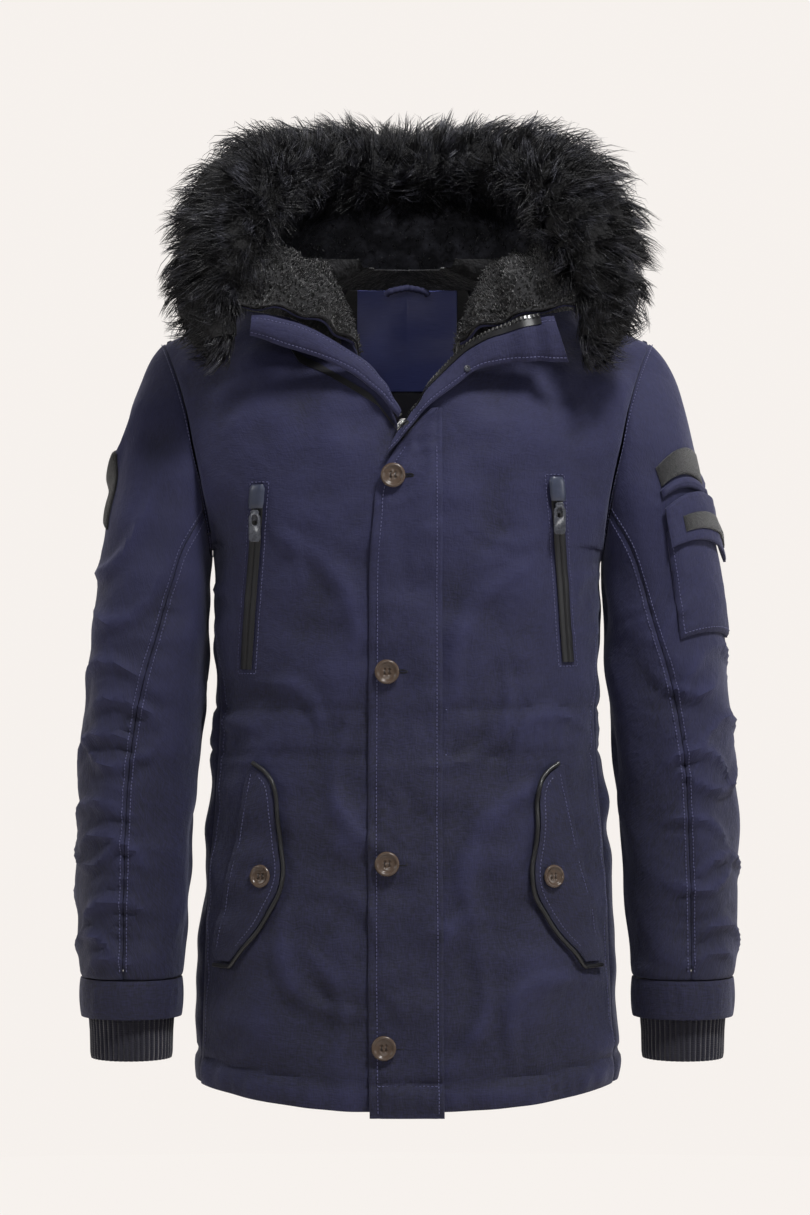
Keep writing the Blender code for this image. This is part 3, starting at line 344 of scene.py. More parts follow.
class ParkaFur(PropertyGroup):
    """Sizes of the fur and the pile."""
    hairs: IntProperty(name="Fur Locks", description="Locks of hair in each third of the trim",
                       default=11000, min=100, max=12000)
    lock: length("Lock Width", "Half the width of a lock at its root", 0.00062, 0.0002, 0.003)
    sweep: FloatProperty(name="Sweep", description="How far the locks are combed outwards",
                         default=0.95, min=0.0, max=2.0, subtype="FACTOR")
    pile: IntProperty(name="Pile Tufts", description="Tufts of pile on each side of the hood",
                      default=6500, min=100, max=20000)
    tuft: length("Tuft Length", "Length of the hood lining's pile", 0.0070, 0.001, 0.02)


class ParkaColours(PropertyGroup):
    """Colours of the parka's materials."""
    shell: colour("Shell", "Navy cotton canvas", (0.0122, 0.0128, 0.0455))
    # painted shade: the canvas colour towards the hem
    shell_low: colour("Shell Shade", "Canvas where it is darker", (0.0022, 0.0021, 0.0074))
    thread: colour("Thread", "Topstitching thread", (0.0700, 0.0720, 0.1700))
    rib: colour("Rib", "Knitted cuffs", (0.0036, 0.0033, 0.0120))
    satin: colour("Satin", "Back neck facing", (0.0900, 0.1080, 0.3400))
    lining: colour("Lining", "Body lining", (0.0230, 0.0220, 0.0340))
    black: colour("Black Cloth", "Zip tapes, side facings and loop tape", (0.0060, 0.0060, 0.0072))
    fur: colour("Fur", "Long fur at its roots", (0.0035, 0.0033, 0.0045))
    # painted sheen: the lighter colour of the hairs' tips and of the plush's lit clouds
    fur_tip: colour("Fur Tips", "Long fur at its tips", (0.0560, 0.0570, 0.0720))
    nickel: colour("Nickel", "Zip teeth and slider", (0.640, 0.640, 0.630))
    enamel: colour("Enamel", "Chest zip pulls", (0.0300, 0.0320, 0.0400))
    rubber: colour("Rubber", "Chest zip garages", (0.0400, 0.0480, 0.0800))
    horn: colour("Horn", "Buttons", (0.0520, 0.0410, 0.0360))
    # painted highlight on the buttons' polished rims
    horn_rim: colour("Horn Rim", "Buttons' polished rims", (0.3000, 0.2350, 0.1900))


class ParkaStage(PropertyGroup):
    """Camera, light and background."""
    distance: length("Camera Distance", "Camera to the middle of the coat", 4.0, 1.0, 20.0)
    height: length("Camera Height", "Height of the camera, and what it looks at", -0.320,
                   -2.0, 2.0)
    lens: FloatProperty(name="Lens", description="Focal length in millimetres", default=123.5,
                        min=20.0, max=300.0)
    key: FloatProperty(name="Key Light", description="Power of the key light", default=95.0,
                       min=0.0, max=1000.0, unit="POWER")
    fill: FloatProperty(name="Fill Light", description="Power of each side light", default=11.0,
                        min=0.0, max=1000.0, unit="POWER")
    backdrop: colour("Backdrop", "Pale floor and backdrop", (0.935, 0.892, 0.858))


# ---------------------------------------------------------------- arithmetic

def spline(values, knots, heights):
    """Smooth curve through the rows of a table: on each step, the cubic whose slopes at both
    ends are those of the straight lines between the rows either side."""
    knots = np.asarray(knots, float)
    heights = np.asarray(heights, float)
    values = np.clip(np.asarray(values, float), knots[0], knots[-1])
    slopes = np.gradient(heights, knots)
    cell = np.clip(np.searchsorted(knots, values) - 1, 0, len(knots) - 2)
    step = knots[cell + 1] - knots[cell]
    t = (values - knots[cell]) / step
    start = (1 + 2 * t) * (1 - t) ** 2 * heights[cell] + t * (1 - t) ** 2 * step * slopes[cell]
    end = t * t * (3 - 2 * t) * heights[cell + 1] - t * t * (1 - t) * step * slopes[cell + 1]
    return start + end


def refine(grid, rows, columns):
    """The grid of points with more rows and columns: along each, the cubic through every point
    whose slope there is half the step between its two neighbours."""
    for axis, count in ((0, rows), (1, columns)):
        grid = np.moveaxis(grid, axis, 0)
        place = np.linspace(0, len(grid) - 1, count)
        cell = np.clip(place.astype(int), 0, len(grid) - 2)
        t = (place - cell).reshape(-1, *([1] * (grid.ndim - 1)))
        slopes = np.gradient(grid, axis=0)
        grid = ((1 + 2 * t) * (1 - t) ** 2 * grid[cell] + t * (1 - t) ** 2 * slopes[cell]
                + t * t * (3 - 2 * t) * grid[cell + 1] - t * t * (1 - t) * slopes[cell + 1])
        grid = np.moveaxis(grid, 0, axis)
    return grid


def unit(vectors):
    """The vectors at length 1."""
    return vectors / np.maximum(np.linalg.norm(vectors, axis=-1, keepdims=True), 1e-12)


def mirrored(points):
    """The same points on the wearer's right."""
    return points * (-1, 1, 1)


def distance_along(points, axis):
    """Distance along each row or column of a grid of points, from its first point."""
    steps = np.linalg.norm(np.diff(points, axis=axis), axis=-1)
    first = np.zeros_like(np.take(steps, [0], axis=axis))
    return np.concatenate((first, np.cumsum(steps, axis=axis)), axis=axis)


def grid_normals(points, ring=False):
    """Normal of a grid at each point: the cross product of the steps along and across."""
    along = np.gradient(points, axis=0)
    if ring:
        across = np.roll(points, -1, axis=1) - np.roll(points, 1, axis=1)
    else:
        across = np.gradient(points, axis=1)
    return unit(np.cross(along, across))


def bell(values, width):
    """Bell curve: e to the minus square of the value over the width."""
    return np.exp(-(values / width) ** 2)


def folds(table, across, up):
    """Height of the listed folds: each is a ridge with a shallow trough on either side,
    (1 - 2q) e^-q with q the square of the distance from its bent line over its half width,
    fading out past its half length."""
    total = np.zeros(np.broadcast(across, up).shape)
    for a, b, reach, width, tilt, bend, height in table:
        turn = math.radians(tilt)
        da = across - a
        db = up - b
        along = da * math.cos(turn) + db * math.sin(turn)
        off = db * math.cos(turn) - da * math.sin(turn) + bend * along ** 2 / reach
        share = (off / width) ** 2
        total += height * (1 - 1.2 * share) * np.exp(-share) * np.exp(-(along / reach) ** 4)
    return total


def waves(across, up, seed, height, size):
    """Slow unevenness: seven sine waves of random direction and phase, all about one size."""
    random = np.random.default_rng(seed)
    total = np.zeros(np.broadcast(across, up).shape)
    for _ in range(7):
        turn, phase, scale = random.uniform((0, 0, 0.7), (math.pi, math.tau, 1.6))
        reach = across * math.cos(turn) + up * math.sin(turn)
        total += np.sin(reach * math.tau / (size * scale) + phase)
    return total * height / 7


# ---------------------------------------------------------------- the coat's surfaces

def ridge(x):
    """Height of the shoulder line, a straight slope from the neck to the shoulder's tip."""
    slope = (SHOULDER_TIP_Z - NECK_Z) / (SHOULDER_TIP_X - SHOULDER_NECK_X)
    return NECK_Z + slope * (np.abs(x) - SHOULDER_NECK_X)


def body_at(turn, z):
    """Body surface at an angle round from the centre front and a height: a superellipse of the
    table's half width and depth there, whose depth rounds off to none at the shoulder line."""
    turn = np.asarray(turn, float)
    z = np.asarray(z, float)
    width = spline(z, BODY[:, 0], BODY[:, 1])
    front = spline(z, BODY[:, 0], BODY[:, 2])
    back = spline(z, BODY[:, 0], BODY[:, 3])
    power = 2 / FULLNESS
    x = width * np.sign(np.sin(turn)) * np.abs(np.sin(turn)) ** power
    drop = np.clip((ridge(x) - z) / SHOULDER_ROUND, 0, 1)
    top = np.sqrt(1 - (1 - drop) ** 2)
    reach = np.abs(np.cos(turn)) ** power * top
    y = MID_Y + np.where(np.cos(turn) > 0, -front, back) * reach
    return np.stack(np.broadcast_arrays(x, y, z), axis=-1)


def turn_for(x, z):
    """Angle from the centre at which the body is a side distance wide."""
    width = spline(z, BODY[:, 0], BODY[:, 1])
    ratio = np.clip(np.abs(x) / width, 0, 1)
    return np.sign(x) * np.arcsin(ratio ** (FULLNESS / 2))


def body_relief(x, z, behind=False):
    """Height of the cloth over the plain body: folds, slow waves, the two casing seams at the
    waist and the puffed hem band with its seam."""
    cloth = bpy.context.scene.parka_cloth
    table, seed = (BACK_FOLDS, 11) if behind else (FRONT_FOLDS, 5)
    total = folds(table, x, z) + waves(x, z, seed, 0.0036, 0.09)
    total = total + waves(x, z, seed + 1, 0.0014, 0.03)
    if not behind:
        down = (np.clip((CHEST_TOP[1] + 0.03 - z) / 0.02, 0, 1)
                * np.clip((z - CHEST_BOTTOM[1] + 0.02) / 0.02, 0, 1))
        total = total * (1 - 0.96 * bell(np.abs(x) - 0.144, 0.026) * down)
    total = total * cloth.fold
    casing = sum(bell(z - height, 0.0038) for height in CASING)
    open_side = np.clip((np.abs(x) - 0.036) / 0.004, 0, 1) if not behind else 1.0
    total = total - cloth.groove * 1.25 * casing * open_side
    between = np.clip(1 - np.abs(z - sum(CASING) / 2) / 0.034, 0, 1)
    gathers = np.sin(x * math.tau / 0.0135 + 4 * np.sin(x * 61 + z * 30))
    total = total + 0.0007 * between * gathers
    turn = turn_for(x, z)
    bottom = hem_height(math.pi - turn if behind else turn)
    over = z - bottom
    puffed = np.sin(np.clip(over / HEM_BAND, 0, 1) * math.pi)
    total = total + 0.0026 * puffed - cloth.groove * 1.2 * bell(over - HEM_BAND, 0.0040)
    total = total + 0.0009 * puffed * np.sin(x * math.tau / 0.017 + 4 * np.sin(x * 43))
    fade = np.clip((ridge(x) - z) / 0.03, 0.15, 1)
    return total * fade


def body_surface(x, z, behind=False):
    """Bare point on the front or the back at a side distance and height."""
    turn = turn_for(x, z)
    return body_at(math.pi - turn if behind else turn, z)


def on_body(x, z, lift, behind=False, relief=True):
    """Point on the cloth of the front or the back, moved out along its normal by a lift."""
    x, z = np.broadcast_arrays(np.asarray(x, float), np.asarray(z, float))
    step = 0.002
    across = body_surface(x + step, z, behind) - body_surface(x - step, z, behind)
    along = body_surface(x, z + step, behind) - body_surface(x, z - step, behind)
    normal = unit(np.cross(across, along)) * (-1 if behind else 1)
    high = np.asarray(lift) + (body_relief(x, z, behind) if relief else 0.0)
    return body_surface(x, z, behind) + normal * np.broadcast_to(high, x.shape)[..., None]


def hem_height(turn):
    """Height of the bottom edge at an angle round from the centre front."""
    bulge = np.cos(turn) ** 2
    centre = np.where(np.cos(turn) > 0, HEM_FRONT_Z, HEM_BACK_Z)
    return HEM_SIDE_Z + (centre - HEM_SIDE_Z) * bulge


def armhole(angle):
    """Armhole seam at an angle from its top, plus to the front and minus to the back."""
    z = SHOULDER_TIP_Z + (ARMPIT_Z - SHOULDER_TIP_Z) * (1 - np.cos(angle)) / 2
    x = spline(z, ARMHOLE[:, 0], ARMHOLE[:, 1])
    turn = turn_for(x, z)
    turn = np.where(np.sin(angle) >= 0, turn, math.pi - turn)
    return body_at(turn, z)


def sleeve_at(row, angle):
    """Left sleeve surface at a ring number and an angle from the outer side: a tilted
    superellipse of the table's ends, eased over the first three rings into the armhole."""
    row = np.asarray(row, float)
    angle = np.asarray(angle, float)
    numbers = np.arange(len(SLEEVE))

    def ring(place_down):
        """Point of the plain superellipse at a place down the sleeve."""
        outer_x, outer_z, inner_x, inner_z, depth, middle = (
            spline(place_down, numbers, SLEEVE[:, column]) for column in range(6))
        power = 2 / SLEEVE_FULLNESS
        out = np.sign(np.cos(angle)) * np.abs(np.cos(angle)) ** power
        fore = np.sign(np.sin(angle)) * np.abs(np.sin(angle)) ** power
        x = (outer_x + inner_x) / 2 + out * (outer_x - inner_x) / 2
        z = (outer_z + inner_z) / 2 + out * (outer_z - inner_z) / 2
        return np.stack(np.broadcast_arrays(x, middle - fore * depth, z), axis=-1)

    fade = np.clip(1 - row / 3, 0, 1)
    fade = fade * fade * (3 - 2 * fade)
    return ring(row) + fade[..., None] * (armhole(angle) - ring(np.zeros_like(row)))


def sleeve_normal(row, angle):
    """Outward normal of the left sleeve, from small steps down and round it."""
    ahead = sleeve_at(np.minimum(row + 0.05, len(SLEEVE) - 1), angle)
    along = ahead - sleeve_at(np.maximum(row - 0.05, 0), angle)
    across = sleeve_at(row, angle + 0.03) - sleeve_at(row, angle - 0.03)
    return unit(np.cross(across, along))


def sleeve_seams(row):
    """Angles of a sleeve's front and back seams at a ring number, in radians."""
    numbers = np.arange(len(SLEEVE))
    return (np.radians(spline(row, numbers, np.array(SEAM_FRONT, float))),
            -np.radians(spline(row, numbers, np.array(SEAM_BACK, float))))


def sleeve_relief(row, angle, left):
    """Height of the cloth over the plain sleeve: listed folds, gathers that run out from
    both seams and slow waves, all easing off at the armhole and the cuff."""
    cloth = bpy.context.scene.parka_cloth
    turned = (angle + math.pi) % (math.tau) - math.pi
    place = sleeve_at(row, angle)
    around = turned * 0.072
    height = place[..., 2]
    table, seed = (SLEEVE_FOLDS_LEFT, 21) if left else (SLEEVE_FOLDS_RIGHT, 31)
    total = folds(table, around, height) * cloth.fold
    total = total + waves(around, height, seed, 0.0030, 0.07) * cloth.fold
    fore, behind = sleeve_seams(row)
    random = np.random.default_rng(seed)
    for seam in (fore, behind):
        off = np.abs((angle - seam + math.pi) % (math.tau) - math.pi) * 0.072
        level = -0.300
        while level > CUFF_TOP_Z + 0.012:
            level -= random.uniform(0.010, 0.019)
            reach = random.uniform(0.014, 0.040)
            size = random.uniform(0.4, 1.0) * cloth.pucker
            lean = random.uniform(-0.35, 0.35)
            share = ((height - level - lean * off) / 0.0052) ** 2
            total = total + size * (1 - 0.9 * share) * np.exp(-share) * np.exp(-(off / reach) ** 2)
    depth = np.clip(row / 2.0, 0, 1) * np.clip((len(SLEEVE) - 1 - row) / 0.5, 0.25, 1)
    if left:
        under = np.clip((row - 1.8) / 0.4, 0, 1) * np.clip((6.3 - row) / 0.4, 0, 1)
        depth = depth * (1 - 0.94 * under * bell(turned - math.radians(44), 0.80))
    return total * depth


def on_sleeve(row, angle, lift, left):
    """Point on a sleeve's cloth at a ring number and an angle, moved out by a lift."""
    row, angle = np.broadcast_arrays(np.asarray(row, float), np.asarray(angle, float))
    high = np.broadcast_to(np.asarray(lift) + sleeve_relief(row, angle, left), row.shape)
    points = sleeve_at(row, angle) + sleeve_normal(row, angle) * high[..., None]
    return points if left else mirrored(points)


def side_turn(z):
    """Angle of the side seam, which moves to the front below the armpit."""
    ease = np.clip((ARMPIT_Z - z) / 0.15, 0, 1)
    return math.pi / 2 - SEAM_TURN * ease


def ring_angles():
    """Angles of the armhole's points, from the armpit up to the shoulder."""
    return math.pi * (1 - np.arange(1, RING_STEPS + 1) / RING_STEPS)


def seam_shares(columns, wide):
    """Shares from 0 to 1 with close steps at both ends, for a cloth edge that rolls over."""
    near = np.array((0.0, 0.0006, 0.0014, 0.0026, 0.0042)) / wide
    middle = np.linspace(near[-1], 1 - near[-1], max(columns - 8, 2))
    return np.concatenate((near[:-1], middle, 1 - near[:-1][::-1]))


def front_grid(share):
    """Left front: rows from hem to shoulder, columns at the shares from the zip to the side."""
    rows = []
    start = turn_for(ZIP_HALF, HEM_FRONT_Z)
    turns = start + (side_turn(HEM_SIDE_Z) - start) * share
    rows.append(body_at(turns, hem_height(turns)))
    for z in LOWER_ROWS:
        start = turn_for(ZIP_HALF, z)
        rows.append(body_at(start + (side_turn(z) - start) * share, z))
    for (x, z), angle in zip(NECK_EDGE, ring_angles()):
        edge = armhole(angle)
        across = x + (edge[0] - x) * np.sin(share * math.pi / 2)
        height = z + (edge[2] - z) * (across - x) / (edge[0] - x)
        if z == NECK_Z:
            height = ridge(across)
        rows.append(body_at(turn_for(across, height), height))
    return np.array(rows)


def back_grid(share):
    """Back: rows from hem to neck, columns at the shares from the wearer's right to left."""
    share = 2 * share - 1
    rows = []
    turns = math.pi - (math.pi - side_turn(HEM_SIDE_Z)) * share
    rows.append(body_at(turns, hem_height(turns)))
    for z in LOWER_ROWS:
        rows.append(body_at(math.pi - (math.pi - side_turn(z)) * share, z))
    for centre, angle in zip(BACK_RISE, ring_angles()):
        edge = armhole(-angle - 1e-9)
        across = edge[0] * np.sign(share) * np.sin(np.abs(share) * math.pi / 2)
        slant = centre + (edge[2] - centre) * np.abs(across) / edge[0]
        neck = np.minimum(ridge(across), centre)
        blend = np.clip((centre - ARMPIT_Z) / (NECK_Z - ARMPIT_Z), 0, 1) ** 2
        blend = blend * (1 - np.abs(share) ** 5)
        height = slant * (1 - blend) + neck * blend
        rows.append(body_at(math.pi - turn_for(across, height), height))
    return np.array(rows)


def seam_dip(points, sides, groove):
    """Dip of a cloth grid towards its sewn edges: the groove's depth times a bell curve of the
    distance from each named edge (0 first row, 1 last row, 2 first column, 3 last column)."""
    total = np.zeros(points.shape[:2])
    for side in sides:
        reach = distance_along(points, 0 if side < 2 else 1)
        if side in (1, 3):
            last = reach[-1:, :] if side == 1 else reach[:, -1:]
            reach = last - reach
        total = total - groove * np.exp(-reach / 0.0026)
    return total


# ---------------------------------------------------------------- meshes

def piece(name, corners, faces, materials, replaced=(), kinds=None, places=None,
          body=COAT, sharp=40.0):
    """Mesh object on a body: corners and faces as arrays, one material number a face, and
    the cloth's own flat coordinates in metres as its UV map."""
    made = bpy.data.meshes.new(name)
    made.from_pydata(np.asarray(corners, float).tolist(), [],
                     faces if isinstance(faces, list) else faces.tolist())
    for material in materials:
        made.materials.append(material)
    if kinds is not None:
        made.polygons.foreach_set("material_index", np.asarray(kinds, np.int32))
    if places is not None:
        made.uv_layers.new(name="Cloth")
        made.uv_layers["Cloth"].uv.foreach_set("vector", np.asarray(places, np.float32).ravel())
    made.shade_smooth()
    made.set_sharp_from_angle(angle=math.radians(sharp))
    made.validate()
    thing = bpy.data.objects.new(name, made)
    bpy.context.scene.collection.objects.link(thing)
    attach(thing, body)
    if replaced:
        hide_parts(*replaced)
    return thing


def mark(thing, high):
    """Keep each corner's height over the plain surface, in millimetres, for the material to paint
    shade in the dips and highlight on the ridges.
    """
    layer = thing.data.attributes.new("height", "FLOAT", "POINT")
    layer.data.foreach_set("value", np.tile(np.ravel(high) * 1000, 2).astype(np.float32))


def outward(corners, faces):
    """The faces turned so that the closed shape's signed volume is above zero."""
    points = np.asarray(corners)
    first, second, third = points[faces[:, 0]], points[faces[:, 1]], points[faces[:, 2]]
    volume = np.einsum("ij,ij->i", first, np.cross(second, third)).sum()
    if faces.shape[1] == 4:
        fourth = points[faces[:, 3]]
        volume += np.einsum("ij,ij->i", first, np.cross(third, fourth)).sum()
    return faces if volume > 0 else faces[:, ::-1]


def shell(name, points, thickness, materials, slot, replaced=(), normals=None, ring=False,
          body=COAT, lies_on=()):
    """Closed cloth wall: the grid is its outer face, its inner face lies a thickness behind it
    along the normals, and strips close its edges. Flat coordinates are the distances along."""
    rows, columns = points.shape[:2]
    if normals is None:
        normals = grid_normals(points, ring)
    depth = np.broadcast_to(np.asarray(thickness, float), (rows, columns))[..., None]
    inner = points - normals * depth
    corners = np.concatenate((points.reshape(-1, 3), inner.reshape(-1, 3)))
    back = rows * columns
    span = columns if ring else columns - 1
    closed = np.concatenate((points, points[:, :1]), axis=1) if ring else points
    flat = np.stack((distance_along(closed, 1), distance_along(closed, 0)), axis=-1)

    def quads(low_row, low_column, high_row, high_column, offsets):
        """Face corners as row and column numbers plus which face of the cloth they are on."""
        picks = ((low_row, low_column), (low_row, high_column),
                 (high_row, high_column), (high_row, low_column))
        index = np.stack([row * columns + column % columns + offset * back
                          for (row, column), offset in zip(picks, offsets)], axis=-1)
        where = np.stack([flat[row, column] for row, column in picks], axis=-2)
        return index.reshape(-1, 4), where.reshape(-1, 4, 2)

    row, column = (grid.ravel() for grid in np.mgrid[0:rows - 1, 0:span])
    outer, outer_at = quads(row, column, row + 1, column + 1, (0, 0, 0, 0))
    index = [outer, outer[:, ::-1] + back]
    where = [outer_at, outer_at[:, ::-1]]
    kinds = [np.zeros(len(outer)), np.full(len(outer), len(materials) - 1)]
    across = np.arange(span)
    for edge, flip in ((0, False), (rows - 1, True)):
        level = np.full(span, edge)
        rim = np.stack((level * columns + across, level * columns + across + back,
                        level * columns + (across + 1) % columns + back,
                        level * columns + (across + 1) % columns), axis=-1)
        at = flat[edge, across][:, None, :].repeat(4, axis=1)
        index.append(rim[:, ::-1] if flip else rim)
        where.append(at)
        kinds.append(np.zeros(span))
    if not ring:
        down = np.arange(rows - 1)
        for edge, flip in ((0, True), (columns - 1, False)):
            rim = np.stack((down * columns + edge, down * columns + edge + back,
                            (down + 1) * columns + edge + back, (down + 1) * columns + edge),
                           axis=-1)
            at = flat[down, edge][:, None, :].repeat(4, axis=1)
            index.append(rim[:, ::-1] if flip else rim)
            where.append(at)
            kinds.append(np.zeros(rows - 1))
    faces = np.concatenate(index)
    turned = outward(corners, faces)
    places = np.concatenate(where)
    if turned is not faces:
        places = places[:, ::-1]
    made = piece(name, corners, turned, materials, replaced, np.concatenate(kinds),
                 places, body)
    return made


def sweep(path, radii, steps, up=(0.3, 0.2, 0.93)):
    """Round tube along a path as corners and faces: circles of the radii, square to the path,
    turned as little as possible from one to the next, with its two ends closed."""
    path = np.asarray(path, float)
    radii = np.broadcast_to(radii, len(path))
    ahead = unit(np.gradient(path, axis=0))
    side = unit(np.cross(ahead[0], up))
    sides = []
    for direction in ahead:
        side = unit(side - direction * np.dot(side, direction))
        sides.append(side)
    sides = np.array(sides)
    other = np.cross(ahead, sides)
    turns = np.arange(steps) * math.tau / steps
    rings = (path[:, None] + radii[:, None, None] * (np.cos(turns)[None, :, None] * sides[:, None]
             + np.sin(turns)[None, :, None] * other[:, None]))
    corners = np.concatenate((rings.reshape(-1, 3), path[:1], path[-1:]))
    ring, step = (grid.ravel() for grid in np.mgrid[0:len(path) - 1, 0:steps])
    after = (step + 1) % steps
    faces = np.stack((ring * steps + step, ring * steps + after, (ring + 1) * steps + after,
                      (ring + 1) * steps + step), axis=-1).tolist()
    count = len(path) * steps
    last = count - steps
    for step in range(steps):
        after = (step + 1) % steps
        faces.append([count, after, step])
        faces.append([count + 1, last + step, last + after])
    return corners, faces


def tube(name, path, radii, material, replaced=(), steps=12, body=COAT):
    """Round tube along a path as a piece of its own."""
    corners, faces = sweep(path, radii, steps)
    thing = piece(name, corners, faces, [material], replaced, body=body)
    settle(thing)
    return thing


def settle(thing):
    """Recalculate a closed piece's normals so that its faces point outwards."""
    shape = bmesh.new()
    shape.from_mesh(thing.data)
    bmesh.ops.recalc_face_normals(shape, faces=shape.faces)
    if shape.calc_volume(signed=True) < 0:
        bmesh.ops.reverse_faces(shape, faces=shape.faces)
    shape.to_mesh(thing.data)
    shape.free()


def copies(name, corners, faces, centres, frames, materials, replaced=(), body=COAT,
           sharp=40.0):
    """One joined mesh of many copies of a small shape: each copy's corners are turned by the
    rows of its frame (side, length, outward) and moved to its centre."""
    corners = np.asarray(corners, float)
    faces = np.asarray(faces)
    centres = np.asarray(centres)
    placed = np.einsum("kc,ncd->nkd", corners, frames) + centres[:, None]
    joined = faces[None] + (np.arange(len(centres)) * len(corners))[:, None, None]
    return piece(name, placed.reshape(-1, 3), joined.reshape(-1, faces.shape[1]), materials,
                 replaced, body=body, sharp=sharp)


def spaced(path, pitch):
    """Points at an even pitch along a path, as places in its own numbering."""
    reach = distance_along(path[:, None], 0)[:, 0]
    count = max(int(reach[-1] / pitch), 2)
    return np.interp((np.arange(count) + 0.5) * reach[-1] / count, reach, np.arange(len(path)))


def at_places(path, places):
    """Points of a path at places between its own points."""
    numbers = np.arange(len(path))
    return np.stack([np.interp(places, numbers, path[:, axis]) for axis in range(3)], axis=-1)


# One stitch: a bar of four sides whose two ends taper to points and dip into the cloth
STITCH_CORNERS = np.array(
    [(0.0, -1.0, -0.9)]
    + [(side, along, high) for along in (-0.55, 0.55)
       for side, high in ((-1.0, 0.0), (0.0, -0.8), (1.0, 0.0), (0.0, 0.9))]
    + [(0.0, 1.0, -0.9)])
STITCH_FACES = np.array(
    [(0, 1 + (k + 1) % 4, 1 + k) for k in range(4)]
    + [(1 + k, 1 + (k + 1) % 4, 5 + (k + 1) % 4) for k in range(4)]
    + [(1 + k, 5 + (k + 1) % 4, 5 + k) for k in range(4)]
    + [(9, 5 + k, 5 + (k + 1) % 4) for k in range(4)])


def sew(name, seams, material, pitch=None, length=None, radius=None,
        upright=False):
    """Rows of stitches along paths: each seam is its path and the outward direction at each
    of its points; upright stitches cross the path, as round a buttonhole."""
    cloth = bpy.context.scene.parka_cloth
    pitch = pitch or cloth.stitch_pitch
    length = length or cloth.stitch
    radius = radius or cloth.thread
    centres, frames = [], []
    for path, normals in seams:
        places = spaced(path, pitch)
        centre = at_places(path, places)
        along = unit(at_places(path, places + 0.02) - at_places(path, places - 0.02))
        out = unit(at_places(normals, places))
        side = unit(np.cross(along, out))
        if upright:
            side, along = along, side
        frames.append(np.stack((side * radius, along * length / 2, out * radius), axis=1))
        centres.append(centre + out * radius * 0.35)
    thing = copies(name, STITCH_CORNERS, STITCH_FACES, np.concatenate(centres),
                   np.concatenate(frames), [material])
    settle(thing)
    return thing


def body_seam(x, z, lift=0.0, behind=False):
    """Path on the body's cloth through side distances and heights, with its normals."""
    path = on_body(x, z, lift, behind)
    above = on_body(x, z, np.asarray(lift) + 0.004, behind)
    return path, above - path


def sleeve_seam(row, angle, lift, left):
    """Path on a sleeve's cloth through ring numbers and angles, with its normals."""
    path = on_sleeve(row, angle, lift, left)
    return path, on_sleeve(row, angle, np.asarray(lift) + 0.004, left) - path


# ---------------------------------------------------------------- materials

class Number:
    """A number on a shader socket: an arithmetic expression on it adds Math nodes."""

    def __init__(self, maker, socket):
        self.maker = maker
        self.socket = socket

    def math(self, operation, first, second=None):
        """One Math node on one or two numbers."""
        values = {0: first} if second is None else {0: first, 1: second}
        return self.maker.node("Math", {"operation": operation}, values)

    def __add__(self, other):
        """Sum with another number."""
        return self.math("ADD", self, other)

    def __sub__(self, other):
        """Difference from another number."""
        return self.math("SUBTRACT", self, other)

    def __rsub__(self, other):
        """Difference of another number from this one."""
        return self.math("SUBTRACT", other, self)

    def __mul__(self, other):
        """Product with another number."""
        return self.math("MULTIPLY", self, other)

    def __pow__(self, other):
        """Power of the number."""
        return self.math("POWER", self, other)

    __radd__ = __add__
    __rmul__ = __mul__

    def sine(self):
        """Sine of the number."""
        return self.math("SINE", self)


